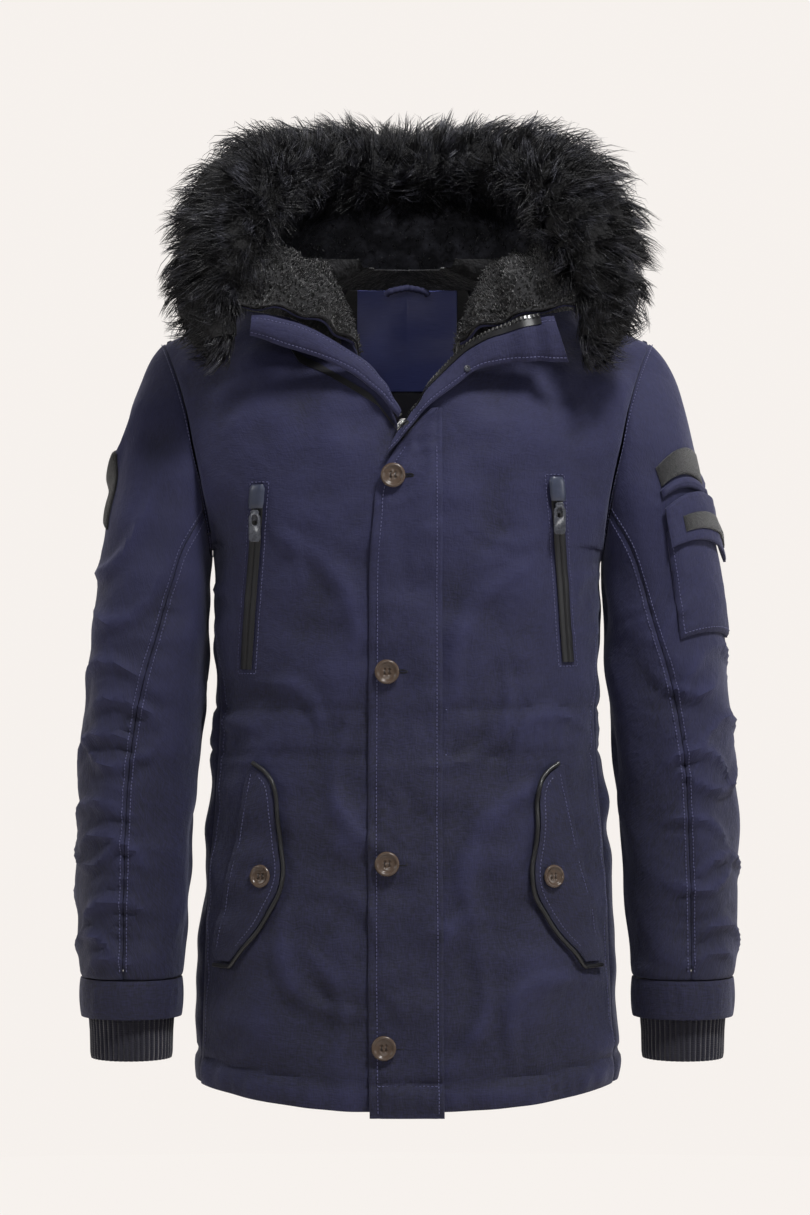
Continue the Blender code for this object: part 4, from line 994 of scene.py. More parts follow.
class Maker:
    """A material under construction: its nodes are all made by one method."""

    def __init__(self, name, roughness, metallic=0.0, **constants):
        self.material = bpy.data.materials.new(name)
        self.material.use_nodes = True
        self.tree = self.material.node_tree
        self.shader = self.tree.nodes["Principled BSDF"]
        self.shader.inputs["Roughness"].default_value = roughness
        self.shader.inputs["Metallic"].default_value = metallic
        for key, value in constants.items():
            self.shader.inputs[key.replace("_", " ")].default_value = value

    def node(self, kind, settings=(), values=(), output=0):
        """One shader node: its type, its settings, and the values or links of its sockets."""
        made = self.tree.nodes.new("ShaderNode" + kind)
        for key, value in dict(settings).items():
            if key == "stops":
                stops = made.color_ramp.elements
                while len(stops) < len(value):
                    stops.new(0.5)
                for stop, (position, shade) in zip(stops, value):
                    stop.position = position
                    stop.color = (*shade, 1.0)
            else:
                setattr(made, key, value)
        for key, value in dict(values).items():
            if isinstance(value, Number):
                self.tree.links.new(value.socket, made.inputs[key])
            else:
                made.inputs[key].default_value = value
        return Number(self, made.outputs[output])

    def place(self, flat=False, stretch=(1.0, 1.0, 1.0)):
        """Object coordinates, or the cloth's flat ones, stretched along the axes."""
        source = self.node("TexCoord", output=2 if flat else 3)
        return self.node("Mapping", {}, {"Vector": source, "Scale": stretch})

    def noise(self, scale, detail=3.0, flat=False, stretch=(1.0, 1.0, 1.0), roughness=0.55):
        """Noise from 0 to 1 at a number of cycles a metre."""
        return self.node("TexNoise", {}, {"Vector": self.place(flat, stretch), "Scale": scale,
                                          "Detail": detail, "Roughness": roughness})

    def threads(self, pitch):
        """Plain weave from 0 to 1: the sines of both flat coordinates, multiplied."""
        parts = self.node("SeparateXYZ", {}, {"Vector": self.place(True)})
        along = self.node("SeparateXYZ", {}, {"Vector": self.place(True)}, 1)
        turns = math.tau / pitch
        return (parts * turns).sine() * (along * turns).sine() * 0.5 + 0.5

    def axis(self, number):
        """One of the object coordinates."""
        return self.node("SeparateXYZ", {}, {"Vector": self.place()}, number)

    def span(self, value, low, high, top=1.0):
        """A number that grows from 0 to the top while a value goes from low to high."""
        return self.node("MapRange", {}, {"Value": value, "From Min": low, "From Max": high,
                                          "To Max": top})

    def spread(self, factor, tone, low, high):
        """A tone between two shades of it."""
        return self.mix(factor, shade(tone, low), shade(tone, high))

    def ramp(self, factor, stops):
        """Colours at places along a factor."""
        return self.node("ValToRGB", {"stops": stops}, {"Fac": factor})

    def mix(self, factor, first, second):
        """Colour between two colours."""
        values = {0: factor}
        for key, shade in ((6, first), (7, second)):
            values[key] = shade if isinstance(shade, Number) else (*shade, 1.0)
        return self.node("Mix", {"data_type": "RGBA"}, values, 2)

    def colour(self, shade):
        """Set or link the base colour."""
        if isinstance(shade, Number):
            self.tree.links.new(shade.socket, self.shader.inputs["Base Color"])
        else:
            self.shader.inputs["Base Color"].default_value = (*shade, 1.0)

    def rough(self, value):
        """Link the roughness."""
        self.tree.links.new(value.socket, self.shader.inputs["Roughness"])

    def bump(self, layers):
        """Bump from several heights: each is its number, its strength and its depth."""
        last = None
        for height, strength, depth in layers:
            values = {"Height": height, "Strength": strength, "Distance": depth}
            if last is not None:
                values["Normal"] = last
            last = self.node("Bump", {}, values)
        self.tree.links.new(last.socket, self.shader.inputs["Normal"])


def once(*settings, **constants):
    """Keep one material for each builder, made with its settings when it is first asked for."""
    def keep(build):
        """Stand in for the builder."""
        def get():
            """The kept material, or a new one."""
            found = bpy.data.materials.get(build.__name__)
            if found is None:
                make = Maker(build.__name__, *settings, **constants)
                build(make, bpy.context.scene.parka_colours)
                found = make.material
            return found
        return get
    return keep


def shade(tone, factor):
    """A colour made lighter or darker by a factor."""
    return tuple(min(part * factor, 1.0) for part in tone)


@once(0.82, Sheen_Weight=0.16, Sheen_Roughness=0.45,
      Sheen_Tint=(0.55, 0.58, 0.85, 1.0))
def canvas(make, tone):
    """Navy cotton canvas: a plain weave with thick and thin threads, washed a little lighter
    in patches, with painted shade towards the hem and in the cloth's dips and a painted
    highlight on its ridges."""
    height = make.axis(2)
    # painted shade: the canvas is mixed towards a darker shade lower down, towards the hem
    low = make.span(height, -0.26, -0.52)
    painted_shading = make.mix(low, tone.shell, tone.shell_low)
    patches = make.noise(7.0, 4.0)
    painted_shading = make.mix(patches * 0.45, painted_shading, shade(tone.shell, 1.3))
    # painted shade in the dips of folds and seams and painted highlight on the ridges, read from
    # the height kept on each corner
    high = make.node("Attribute", {"attribute_name": "height"}, (), 2)
    dip = make.span(high, -0.3, -4.0, 0.72)
    rise = make.span(high, 0.2, 5.0, 0.42)
    painted_shading = make.mix(dip, painted_shading, shade(tone.shell, 0.28))
    painted_shading = make.mix(rise, painted_shading, shade(tone.shell, 1.75))
    slub = make.noise(1.0, 3.0, True, (110.0, 620.0, 1.0))
    other = make.noise(1.0, 3.0, True, (620.0, 120.0, 1.0))
    fleck = make.span(slub + other, 0.80, 1.25)
    make.colour(make.mix(fleck * 0.42, painted_shading, shade(tone.shell, 2.1)))
    make.rough(0.74 + patches * 0.16)
    weave = make.threads(0.0011)
    make.bump(((make.noise(22.0, 5.0), 0.55, 0.0060), (make.noise(80.0, 3.0), 0.50, 0.0020),
               (slub + other, 0.55, 0.0008), (weave, 0.25, 0.0003)))


@once(0.6, Sheen_Weight=0.2)
def canvas_thread(make, tone):
    """Thread a shade lighter than the canvas."""
    make.colour(make.spread(make.noise(400.0, 2.0), tone.thread, 0.75, 1.3))
    make.bump(((make.noise(1800.0, 1.0), 0.4, 0.0002),))


@once(0.5)
def black_thread(make, tone):
    """Black buttonhole twist."""
    make.colour(make.spread(make.noise(500.0, 2.0), tone.black, 0.6, 1.9))
    make.bump(((make.noise(1500.0, 1.0), 0.4, 0.0002),))


@once(0.46, Sheen_Weight=0.15)
def body_lining(make, tone):
    """Dark grey taffeta with soft creases."""
    cloud = make.noise(14.0, 4.0)
    make.colour(make.spread(cloud, tone.lining, 0.7, 1.5))
    make.bump(((make.noise(34.0, 4.0), 0.8, 0.0040), (make.threads(0.0008), 0.2, 0.0002)))


@once(0.34, Sheen_Weight=0.1)
def neck_satin(make, tone):
    """Navy satin: fine floats across it give a soft streaked sheen."""
    streak = make.noise(1.0, 2.0, True, (60.0, 1600.0, 1.0))
    make.colour(make.spread(streak, tone.satin, 0.7, 1.4))
    make.rough(0.28 + streak * 0.16)
    make.bump(((make.noise(30.0, 3.0), 0.5, 0.0026), (streak, 0.15, 0.0002)))


@once(0.9, Sheen_Weight=0.3, Sheen_Roughness=0.6)
def black_facing(make, tone):
    """Black knitted facing with a brushed face."""
    fuzz = make.noise(700.0, 3.0)
    make.colour(make.spread(fuzz, tone.black, 0.5, 1.5))
    make.bump(((fuzz, 0.6, 0.0006), (make.noise(40.0, 3.0), 0.5, 0.0024)))


@once(0.42)
def coated_tape(make, tone):
    """Black coated zip tape, fine ribs under a satin film."""
    ribs = make.noise(1.0, 1.0, True, (2400.0, 150.0, 1.0))
    make.colour(make.spread(ribs, tone.black, 0.8, 2.2))
    make.rough(0.36 + ribs * 0.14)
    make.bump(((ribs, 0.3, 0.0002), (make.noise(160.0, 2.0), 0.2, 0.0004)))


@once(0.95, Sheen_Weight=0.35, Sheen_Roughness=0.5)
def loop_tape(make, tone):
    """Black loop tape, a mat of tiny loops with lighter tips."""
    loops = make.noise(1300.0, 3.0, roughness=0.75)
    clumps = make.noise(240.0, 2.0)
    make.colour(make.ramp(loops * 0.7 + clumps * 0.3, (
        (0.30, shade(tone.black, 0.5)), (0.55, shade(tone.black, 1.9)),
        (0.72, shade(tone.black, 4.5)))))
    make.bump(((loops, 1.0, 0.0012), (clumps, 0.5, 0.0012)))


@once(0.92, Sheen_Weight=0.3, Sheen_Roughness=0.5)
def rib_wool(make, tone):
    """Dark navy knitting yarn, fuzzy along each rib."""
    fuzz = make.noise(900.0, 3.0)
    make.colour(make.spread(fuzz, tone.rib, 0.55, 1.9))
    stitches = make.axis(2)
    make.bump(((fuzz, 0.5, 0.0005), ((stitches * (math.tau / 0.0021)).sine(), 0.35, 0.0004)))


@once(0.36, Specular_IOR_Level=0.42)
def fur_hair(make, tone):
    """Glossy hair, black at the root with painted sheen growing towards the tip, and painted
    silvery highlights where some locks catch the light.
    """
    tip = make.node("SeparateXYZ", {}, {"Vector": make.node("TexCoord", output=2)}, 1)
    lock = make.noise(55.0, 2.0)
    # painted sheen: the colour grows from the dark root to a lighter tip
    fade = make.ramp(tip, ((0.0, shade(tone.fur, 0.4)), (0.5, shade(tone.fur, 0.8)),
                           (1.0, shade(tone.fur_tip, 0.30))))
    # painted highlight: silvery glints on the locks that the noise picks out
    painted_glint = make.ramp(tip, ((0.0, shade(tone.fur, 0.5)), (0.4, shade(tone.fur_tip, 0.6)),
                             (1.0, shade(tone.fur_tip, 2.0))))
    lit = make.span(lock, 0.50, 0.70)
    make.colour(make.mix(lit, fade, painted_glint))
    make.rough(0.42 - lit * 0.14)


@once(0.85)
def fur_felt(make, tone):
    """Dark matted underfur below the locks."""
    mat = make.noise(180.0, 4.0)
    make.colour(make.spread(mat, tone.fur, 0.4, 1.2))
    make.bump(((mat, 1.0, 0.004),))


@once(0.8, Sheen_Weight=0.35, Sheen_Roughness=0.4)
def pile_felt(make, tone):
    """Short black plush under its tufts, with painted highlights in soft clouds and painted light
    that makes it paler towards the back.
    """
    mat = make.noise(140.0, 4.0)
    cloud = make.noise(42.0, 3.0)
    # painted highlight: soft clouds lightened towards the fur's sheen colour
    lit = make.span(cloud, 0.45, 0.75)
    base = make.spread(mat, tone.fur, 0.5, 1.8)
    base = make.mix(lit * 0.7, base, shade(tone.fur_tip, 0.16))
    # painted light: paler towards the back, where the plush is seen inside the neck
    deep = make.axis(1)
    painted_shading = make.span(deep, 0.02, 0.12)
    pale = make.spread(lit, tone.fur_tip, 1.5, 6.4)
    make.colour(make.mix(painted_shading, base, make.mix(mat, shade(tone.fur_tip, 0.15), pale)))
    make.bump(((mat, 1.0, 0.004),))


@once(0.26, 1.0)
def nickel(make, tone):
    """Polished nickel plate with faint handling marks."""
    marks = make.noise(420.0, 3.0)
    make.colour(make.mix(marks, shade(tone.nickel, 0.78), tone.nickel))
    make.rough(0.18 + marks * 0.2)
    make.bump(((marks, 0.12, 0.0003),))


@once(0.22, Coat_Weight=0.4, Coat_Roughness=0.12)
def enamel(make, tone):
    """Black enamel on metal, glossy, with small lighter rubbed marks."""
    marks = make.noise(260.0, 3.0)
    make.colour(make.mix(marks, tone.enamel, shade(tone.enamel, 2.4)))
    make.rough(0.2 + marks * 0.16)
    make.bump(((marks, 0.12, 0.0003),))


@once(0.3, Coat_Weight=0.15, Coat_Roughness=0.25)
def moulded_rubber(make, tone):
    """Moulded blue-grey rubber with a fine bloom."""
    bloom = make.noise(300.0, 3.0)
    make.colour(make.spread(bloom, tone.rubber, 0.8, 1.25))
    make.rough(0.26 + bloom * 0.14)
    make.bump(((bloom, 0.15, 0.0003),))


@once(0.24, Coat_Weight=0.5, Coat_Roughness=0.1)
def horn(make, tone):
    """Polished horn, streaked grey-brown, with a painted highlight in light amber on its rim."""
    streak = make.noise(1.0, 4.0, False, (70.0, 70.0, 420.0))
    # painted highlight: the rim, marked by the button's second flat coordinate, is mixed towards
    # light amber
    rim = make.node("SeparateXYZ", {}, {"Vector": make.node("TexCoord", output=2)}, 1)
    deep = make.spread(streak, tone.horn, 0.55, 1.7)
    make.colour(make.mix(rim * (0.45 + streak * 0.55), deep, tone.horn_rim))
    make.rough(0.2 + streak * 0.12)
    make.bump(((streak, 0.12, 0.0003),))


@once(0.4, Coat_Weight=0.1)
def grain_leather(make, tone):
    """Black leather with a fine pebble grain."""
    grain = make.node("TexVoronoi", {"feature": "DISTANCE_TO_EDGE"},
                      {"Vector": make.place(), "Scale": 700.0})
    cloud = make.noise(90.0, 3.0)
    make.colour(make.spread(cloud, tone.black, 0.8, 1.8))
    make.rough(0.32 + cloud * 0.2)
    make.bump(((grain, 0.5, 0.0004), (cloud, 0.3, 0.0008)))


# ---------------------------------------------------------------- operators

class PieceOperator:
    """What every piece's operator shares."""
    bl_options = {"REGISTER", "UNDO"}

    def execute(self, context):
        """Make the pieces, or raise an error."""
        self.make(context.scene.parka_cloth)
        return {"FINISHED"}


def body_panel(name, share, grid_maker, behind, flip):
    """One body panel: the coarse grid refined, put back on the surface, given its relief and
    its rolled seam edges, and closed into a wall whose hem is turned up thicker."""
    cloth = bpy.context.scene.parka_cloth
    coarse = grid_maker(share)
    columns = len(share)
    rows = int(0.80 / cloth.cell)
    even = refine(coarse, rows, columns)
    reach = distance_along(even, 0)
    level = seam_shares(rows, 0.78)
    total = reach[-1, columns // 2]
    numbers = np.interp(level * total, reach[:, columns // 2], np.arange(rows))
    low = np.clip(numbers.astype(int), 0, rows - 2)
    t = (numbers - low)[:, None, None]
    points = even[low] * (1 - t) + even[low + 1] * t
    x, z = points[..., 0], points[..., 2]
    if flip:
        x = -x
    bare = body_surface(x, z, behind)
    top = points[..., 1:2]
    bare[..., 1:2] = np.where(np.abs(x)[..., None] > 0.16, top, bare[..., 1:2])
    normals = grid_normals(bare)
    if (normals[rows // 2, columns // 2, 1] > 0) != behind:
        normals = -normals
    sides = (1, 2, 3) if behind else (1, 3)
    high = body_relief(x, z, behind)
    edge = distance_along(bare, 1)
    away = np.minimum(edge, edge[:, -1:] - edge) if behind else edge[:, -1:] - edge
    high = high * np.clip(away / 0.012, 0.15, 1)
    high = high + seam_dip(bare, sides, cloth.groove)
    points = bare + normals * high[..., None]
    depth = np.full(points.shape[:2], SHELL)
    over = distance_along(points, 0)
    depth += (HEM_THICK - SHELL) * np.clip(1 - over / 0.03, 0, 1)
    made = shell(name + "_cloth", points, depth, [canvas(), body_lining()], "shell_cloth",
                 (name,), normals)
    mark(made, high)


class PARKA_OT_body(PieceOperator, Operator):
    """Sew the two fronts and the back"""
    bl_idname = "parka.body"
    bl_label = "Fronts and Back"

    def make(self, cloth):
        """Each panel is its half of the body, from seam to seam."""
        share = seam_shares(int(0.31 / cloth.cell), 0.30)
        body_panel("front_left", share, front_grid, False, False)
        body_panel("front_right", share, front_grid, False, True)
        body_panel("back", seam_shares(int(0.52 / cloth.cell), 0.50), back_grid, True, False)


def sleeve_piece(name, left, first, last):
    """One sleeve piece: the grid between its two seams from the armhole to the cuff."""
    cloth = bpy.context.scene.parka_cloth
    rows = int(0.56 / cloth.cell)
    fine = seam_shares(rows, 0.55) * (len(SLEEVE) - 1)
    start, end = first(fine), last(fine)
    wide = float(np.mean(end - start)) * 0.075
    share = seam_shares(max(int(wide / cloth.cell), 12), wide)
    row = fine[:, None] + 0 * share
    angle = start[:, None] + (end - start)[:, None] * share
    bare = sleeve_at(row, angle)
    high = sleeve_relief(row, angle, left) + seam_dip(bare, (0, 1, 2, 3), cloth.groove)
    normals = sleeve_normal(row, angle)
    points = bare + normals * high[..., None]
    bent = grid_normals(points)
    bent = bent * np.sign(np.sum(bent * normals, axis=-1, keepdims=True))
    if not left:
        points, bent = mirrored(points), mirrored(bent)
    made = shell(name + "_cloth", points, SHELL, [canvas(), body_lining()], "shell_cloth",
                 (name,), bent)
    mark(made, high)


class PARKA_OT_sleeves(PieceOperator, Operator):
    """Sew the upper and under piece of both sleeves"""
    bl_idname = "parka.sleeves"
    bl_label = "Sleeves"

    def make(self, cloth):
        """The upper piece runs from the back seam over the outside to the front seam."""
        part = math.radians(0.2)
        for left, side in ((True, "left"), (False, "right")):
            sleeve_piece("sleeve_upper_" + side, left, lambda row: sleeve_seams(row)[1] + part,
                         lambda row: sleeve_seams(row)[0] - part)
            sleeve_piece("sleeve_under_" + side, left, lambda row: sleeve_seams(row)[0] + part,
                         lambda row: sleeve_seams(row)[1] + math.tau - part)


def cuff_ring(z, scale, turns):
    """Ring of a cuff at a height: the sleeve's end ellipse times a scale."""
    outer_x, inner_x, depth, middle = SLEEVE[-1, (0, 2, 4, 5)]
    x = (outer_x + inner_x) / 2 + np.cos(turns) * (outer_x - inner_x) / 2 * scale
    y = middle - 0.0005 * (CUFF_TOP_Z - z) - np.sin(turns) * depth * scale
    return np.stack(np.broadcast_arrays(x, y, z), axis=-1)


class PARKA_OT_cuffs(PieceOperator, Operator):
    """Make the turned cuff bands and the knitted ribs inside them"""
    bl_idname = "parka.cuffs"
    bl_label = "Cuffs"

    def make(self, cloth):
        """A band is a puffed ring with small gathers. A rib is a ring whose radius follows a
        row of rounded ribs that draw in towards its folded end."""
        for side, sign in (("left", 1), ("right", -1)):
            turns = (np.arange(120) * math.tau / 120)[None, :]
            down = np.linspace(0, 1, 26)[:, None]
            z = CUFF_TOP_Z - 0.0014 + (CUFF_BOTTOM_Z - CUFF_TOP_Z + 0.0014) * down
            random = np.random.default_rng(41 if sign > 0 else 43)
            puff = 0.030 * np.sin(np.clip(down, 0, 1) * math.pi) ** 0.6
            gather = sum(0.0065 * np.sin(turns * count + phase + 2 * down) / 2
                         for count, phase in zip((9, 14, 23, 31), random.uniform(0, 6, 4)))
            scale = 0.985 + puff - 0.012 * down + gather * np.sin(down * math.pi)
            band = cuff_ring(z, scale, turns) * (sign, 1, 1)
            normals = grid_normals(band, True)
            centre = np.array((sign * (SLEEVE[-1, 0] + SLEEVE[-1, 2]) / 2, SLEEVE[-1, 5], 0))
            flip = np.sum(normals * (band - centre) * (1, 1, 0)) < 0
            normals = -normals if flip else normals
            shell("cuff_band_" + side + "_cloth", band, 0.0045, [canvas(), body_lining()],
                  "shell_cloth", ("cuff_band_" + side,), normals, True)
            count = cloth.ribs * 7
            turns = (np.arange(count) * math.tau / count)[None, :]
            down = np.linspace(0, 1, 30)[:, None]
            z = -0.690 + (RIB_BOTTOM_Z + 0.690) * down
            draw = np.interp(down, (0, 0.24, 0.55, 1.0), (0.885, 0.832, 0.803, 0.79))
            rounded = np.abs(np.cos(turns * cloth.ribs / 2 + 0.10 * np.sin(down * 5))) ** 0.7
            fold = 0.018 * np.clip((down - 0.88) / 0.12, 0, 1) ** 2
            scale = draw - 0.030 + 0.040 * rounded - fold
            rib = cuff_ring(z, scale, turns) * (sign, 1, 1)
            normals = unit((rib - centre) * (1, 1, 0))
            shell("rib_cuff_" + side + "_knit", rib, 0.0034, [rib_wool()], "rib_knit",
                  ("rib_cuff_" + side,), normals, True)


def placket_lift(extra):
    """Height over the front's cloth of what lies an extra height over the placket."""
    return LIFT + PLACKET_THICK + extra


def placket_edges(z):
    """Side distances of the placket's free edge and of its seam at a height."""
    return (spline(z, PLACKET[:, 0], PLACKET[:, 1]), spline(z, PLACKET[:, 0], PLACKET[:, 2]))


def placket_puff(share, wide):
    """Soft puff of the placket between its two stitch lines, a dip at each line."""
    near = share * wide
    far = (1 - share) * wide
    puff = 0.0013 * np.sin(np.clip((near - 0.008) / (wide - 0.014), 0, 1) * math.pi) ** 0.5
    return puff - 0.0008 * bell(near - 0.0078, 0.0016) - 0.0008 * bell(far - 0.0050, 0.0016)


class PARKA_OT_placket(PieceOperator, Operator):
    """Sew the storm flap over the front zip"""
    bl_idname = "parka.placket"
    bl_label = "Placket"

    def make(self, cloth):
        """A strip between its free edge and its seam, on the front's cloth, puffed between
        its stitch lines, with slight waves down its free edge."""
        level = seam_shares(190, 0.66)[:, None]
        z = PLACKET[0, 0] + (PLACKET[-1, 0] - PLACKET[0, 0]) * level
        share = seam_shares(26, 0.068)[None, :]
        free, seam = placket_edges(z)
        x = free + (seam - free) * share
        z = z + 0 * x
        wide = np.maximum(seam - free, 0.012)
        roll = (-0.0016 * np.exp(-share * wide / 0.0016)
                - 0.0018 * np.exp(-(1 - share) * wide / 0.0018))
        wave = 0.0010 * (1 - share) ** 2 * np.sin(z * math.tau / 0.083 + 5 * np.sin(z * 9))
        crease = folds(np.array(PLACKET_FOLDS), x, z)
        points = on_body(x, z, placket_lift(placket_puff(share, wide) + roll + wave + crease))
        shell("placket_cloth", points, PLACKET_THICK - 0.0006, [canvas()], "shell_cloth",
              ("placket",), front_facing(points))


# Soft folds of the placket near its top and between its buttons, as in the fronts' table
PLACKET_FOLDS = (
    (0.010, -0.150, 0.026, 0.007, 52, 0.4, 0.0030),
    (0.002, -0.178, 0.024, 0.006, 40, 0.5, 0.0022),
    (0.018, -0.205, 0.030, 0.008, 60, -0.4, 0.0020),
    (0.008, -0.265, 0.030, 0.009, 70, 0.4, 0.0015),
    (-0.010, -0.310, 0.026, 0.008, 60, 0.4, 0.0012),
    (0.004, -0.450, 0.028, 0.009, 66, -0.4, 0.0014),
    (-0.008, -0.500, 0.026, 0.008, -64, 0.5, 0.0012),
    (0.006, -0.640, 0.030, 0.009, 72, 0.4, 0.0014),
    (-0.006, -0.690, 0.022, 0.008, -60, 0.4, 0.0012),
)


def front_facing(points):
    """Normals of an open grid, turned to face the front."""
    normals = grid_normals(points)
    return -normals if normals[len(points) // 2, points.shape[1] // 2, 1] > 0 else normals


def wing_grid(table, rows, columns, left):
    """A collar strip's grid: straight across between its two edges, bowed to the front, with
    both edges rolled and a slight wave along it."""
    share = np.linspace(0, 1, 4)[None, :, None]
    reach = np.linspace(0, 1, len(table))[:, None, None]
    grid = table[:, None, :3] + (table[:, None, 3:] - table[:, None, :3]) * share
    grid = grid + np.sin(share * math.pi) * reach * (0.0, -0.004, 0.0)
    fine = refine(grid, rows, columns)
    fine = fine if left else mirrored(fine)
    normals = front_facing(fine)
    across = distance_along(fine, 1)
    away = np.minimum(across, across[:, -1:] - across)
    down = distance_along(fine, 0)
    high = -0.0013 * np.exp(-away / 0.0014) - 0.0006 * bell(away - 0.0050, 0.0013)
    high = high + 0.0010 * np.sin(down * math.tau / 0.034 + 4 * np.sin(down * 31))
    high = high + 0.0007 * np.sin(np.clip(away / 0.011, 0, 1) * math.pi / 2)
    return fine + normals * high[..., None], normals


class PARKA_OT_collar(PieceOperator, Operator):
    """Sew the two collar strips that turn back over the fronts"""
    bl_idname = "parka.collar"
    bl_label = "Collar Strips"

    def make(self, cloth):
        """Each strip is the grid between its two edges."""
        for side, table, left in (("left", WING_LEFT, True), ("right", WING_RIGHT, False)):
            points, normals = wing_grid(table, 110, 26, left)
            shell("collar_wing_" + side + "_cloth", points, 0.0026, [canvas()], "shell_cloth",
                  ("collar_wing_" + side,), normals)
            if left:
                out = normals[11, 8:17]
                buttonhole("collar_hole", points[11:20, 8:17].diagonal().T + out * 0.0004, out)
                seat, out = points[54, 19], unit(normals[54, 19])
                self.snap(seat + out * 0.0002, out)
        # A black tape along the lower edge of the right strip: near the middle the zip's turned
        # tape, further out a painted shadow under the strip.
        dark = np.array(((-0.105, -0.084), (-0.080, -0.096), (-0.055, -0.112), (-0.030, -0.128),
                         (-0.012, -0.150), (0.000, -0.168)))
        x = np.interp(np.linspace(0, 5, 50), np.arange(6), dark[:, 0])
        z = np.interp(np.linspace(0, 5, 50), np.arange(6), dark[:, 1])
        lean = np.linspace(-0.006, 0.007, 8)[None, :]
        points = on_body(x[:, None] - lean * 0.55, z[:, None] + lean * 0.85, 0.0009)
        shell("zip_tape_and_shadow_right_tape", points, 0.0007, [coated_tape()], "zip_tape",
              normals=front_facing(points))


    def snap(self, seat, out):
        """A small pressed snap: a dome of rings round its middle, sunk at the centre."""
        first = unit(np.cross((0.0, 0.0, 1.0), out))
        second = np.cross(out, first)
        share = np.array((0.02, 0.35, 0.55, 0.80, 1.0))[:, None]
        high = np.array((0.0004, 0.0005, 0.0012, 0.0013, 0.0001))[:, None]
        turns = np.linspace(0, math.tau, 24, endpoint=False)[None, :]
        points = (seat + (share * np.cos(turns))[..., None] * first * 0.0032
                  + (share * np.sin(turns))[..., None] * second * 0.0032 + high[..., None] * out)
        shell("collar_snap", points, 0.0008, [enamel()], "dark_metal",
              normals=np.broadcast_to(out, points.shape), ring=True, lies_on=("collar_wing_left",))


def hood_section(row):
    """Curve of one hood section, from the neck seam round the bag to the fur."""
    points = row[:15].reshape(5, 3)
    neck, fore, bottom, behind, rim = points
    toward = unit(behind - rim)
    end = rim + toward * row[15] * 0.55
    control = np.array((neck, fore, bottom, behind, end))
    along = np.concatenate(((0,), np.cumsum(np.linalg.norm(np.diff(control, axis=0), axis=1))))
    share = np.linspace(0, along[-1], 9)
    return np.stack([spline(share, along, control[:, axis]) for axis in range(3)], axis=-1)


def hood_grid(rows, columns):
    """The whole hood from the right front end round the back to the left, with its normals:
    sections of a smooth tilted bag, each a smooth curve through five points of the table."""
    numbers = np.arange(len(HOOD))
    fine = np.linspace(0, len(HOOD) - 1, 11)
    table = np.stack([spline(fine, numbers, HOOD[:, column]) for column in range(16)], axis=-1)
    half = np.array([hood_section(row) for row in table]).transpose(1, 0, 2) * (-1, 1, 1)
    whole = np.concatenate((half[:, ::-1], mirrored(half)[:, 1:]), axis=1)
    whole = refine(whole, rows, columns)
    normals = grid_normals(whole)
    if normals[rows // 2, columns // 2, 2] > 0:
        normals = -normals
    return whole, normals


HOOD_PARTS = (("right", 0.0, 0.3), ("back", 0.3, 0.7), ("left", 0.7, 1.0))


# Plush that turns over the fronts' neck edges: side distance, lower and upper height
TURN_RIGHT = np.array((
    (-0.158, -0.036, -0.012), (-0.125, -0.044, -0.015), (-0.100, -0.052, -0.018),
    (-0.080, -0.062, -0.024), (-0.062, -0.074, -0.036)))
TURN_LEFT = TURN_RIGHT * (-1, 1, 1)


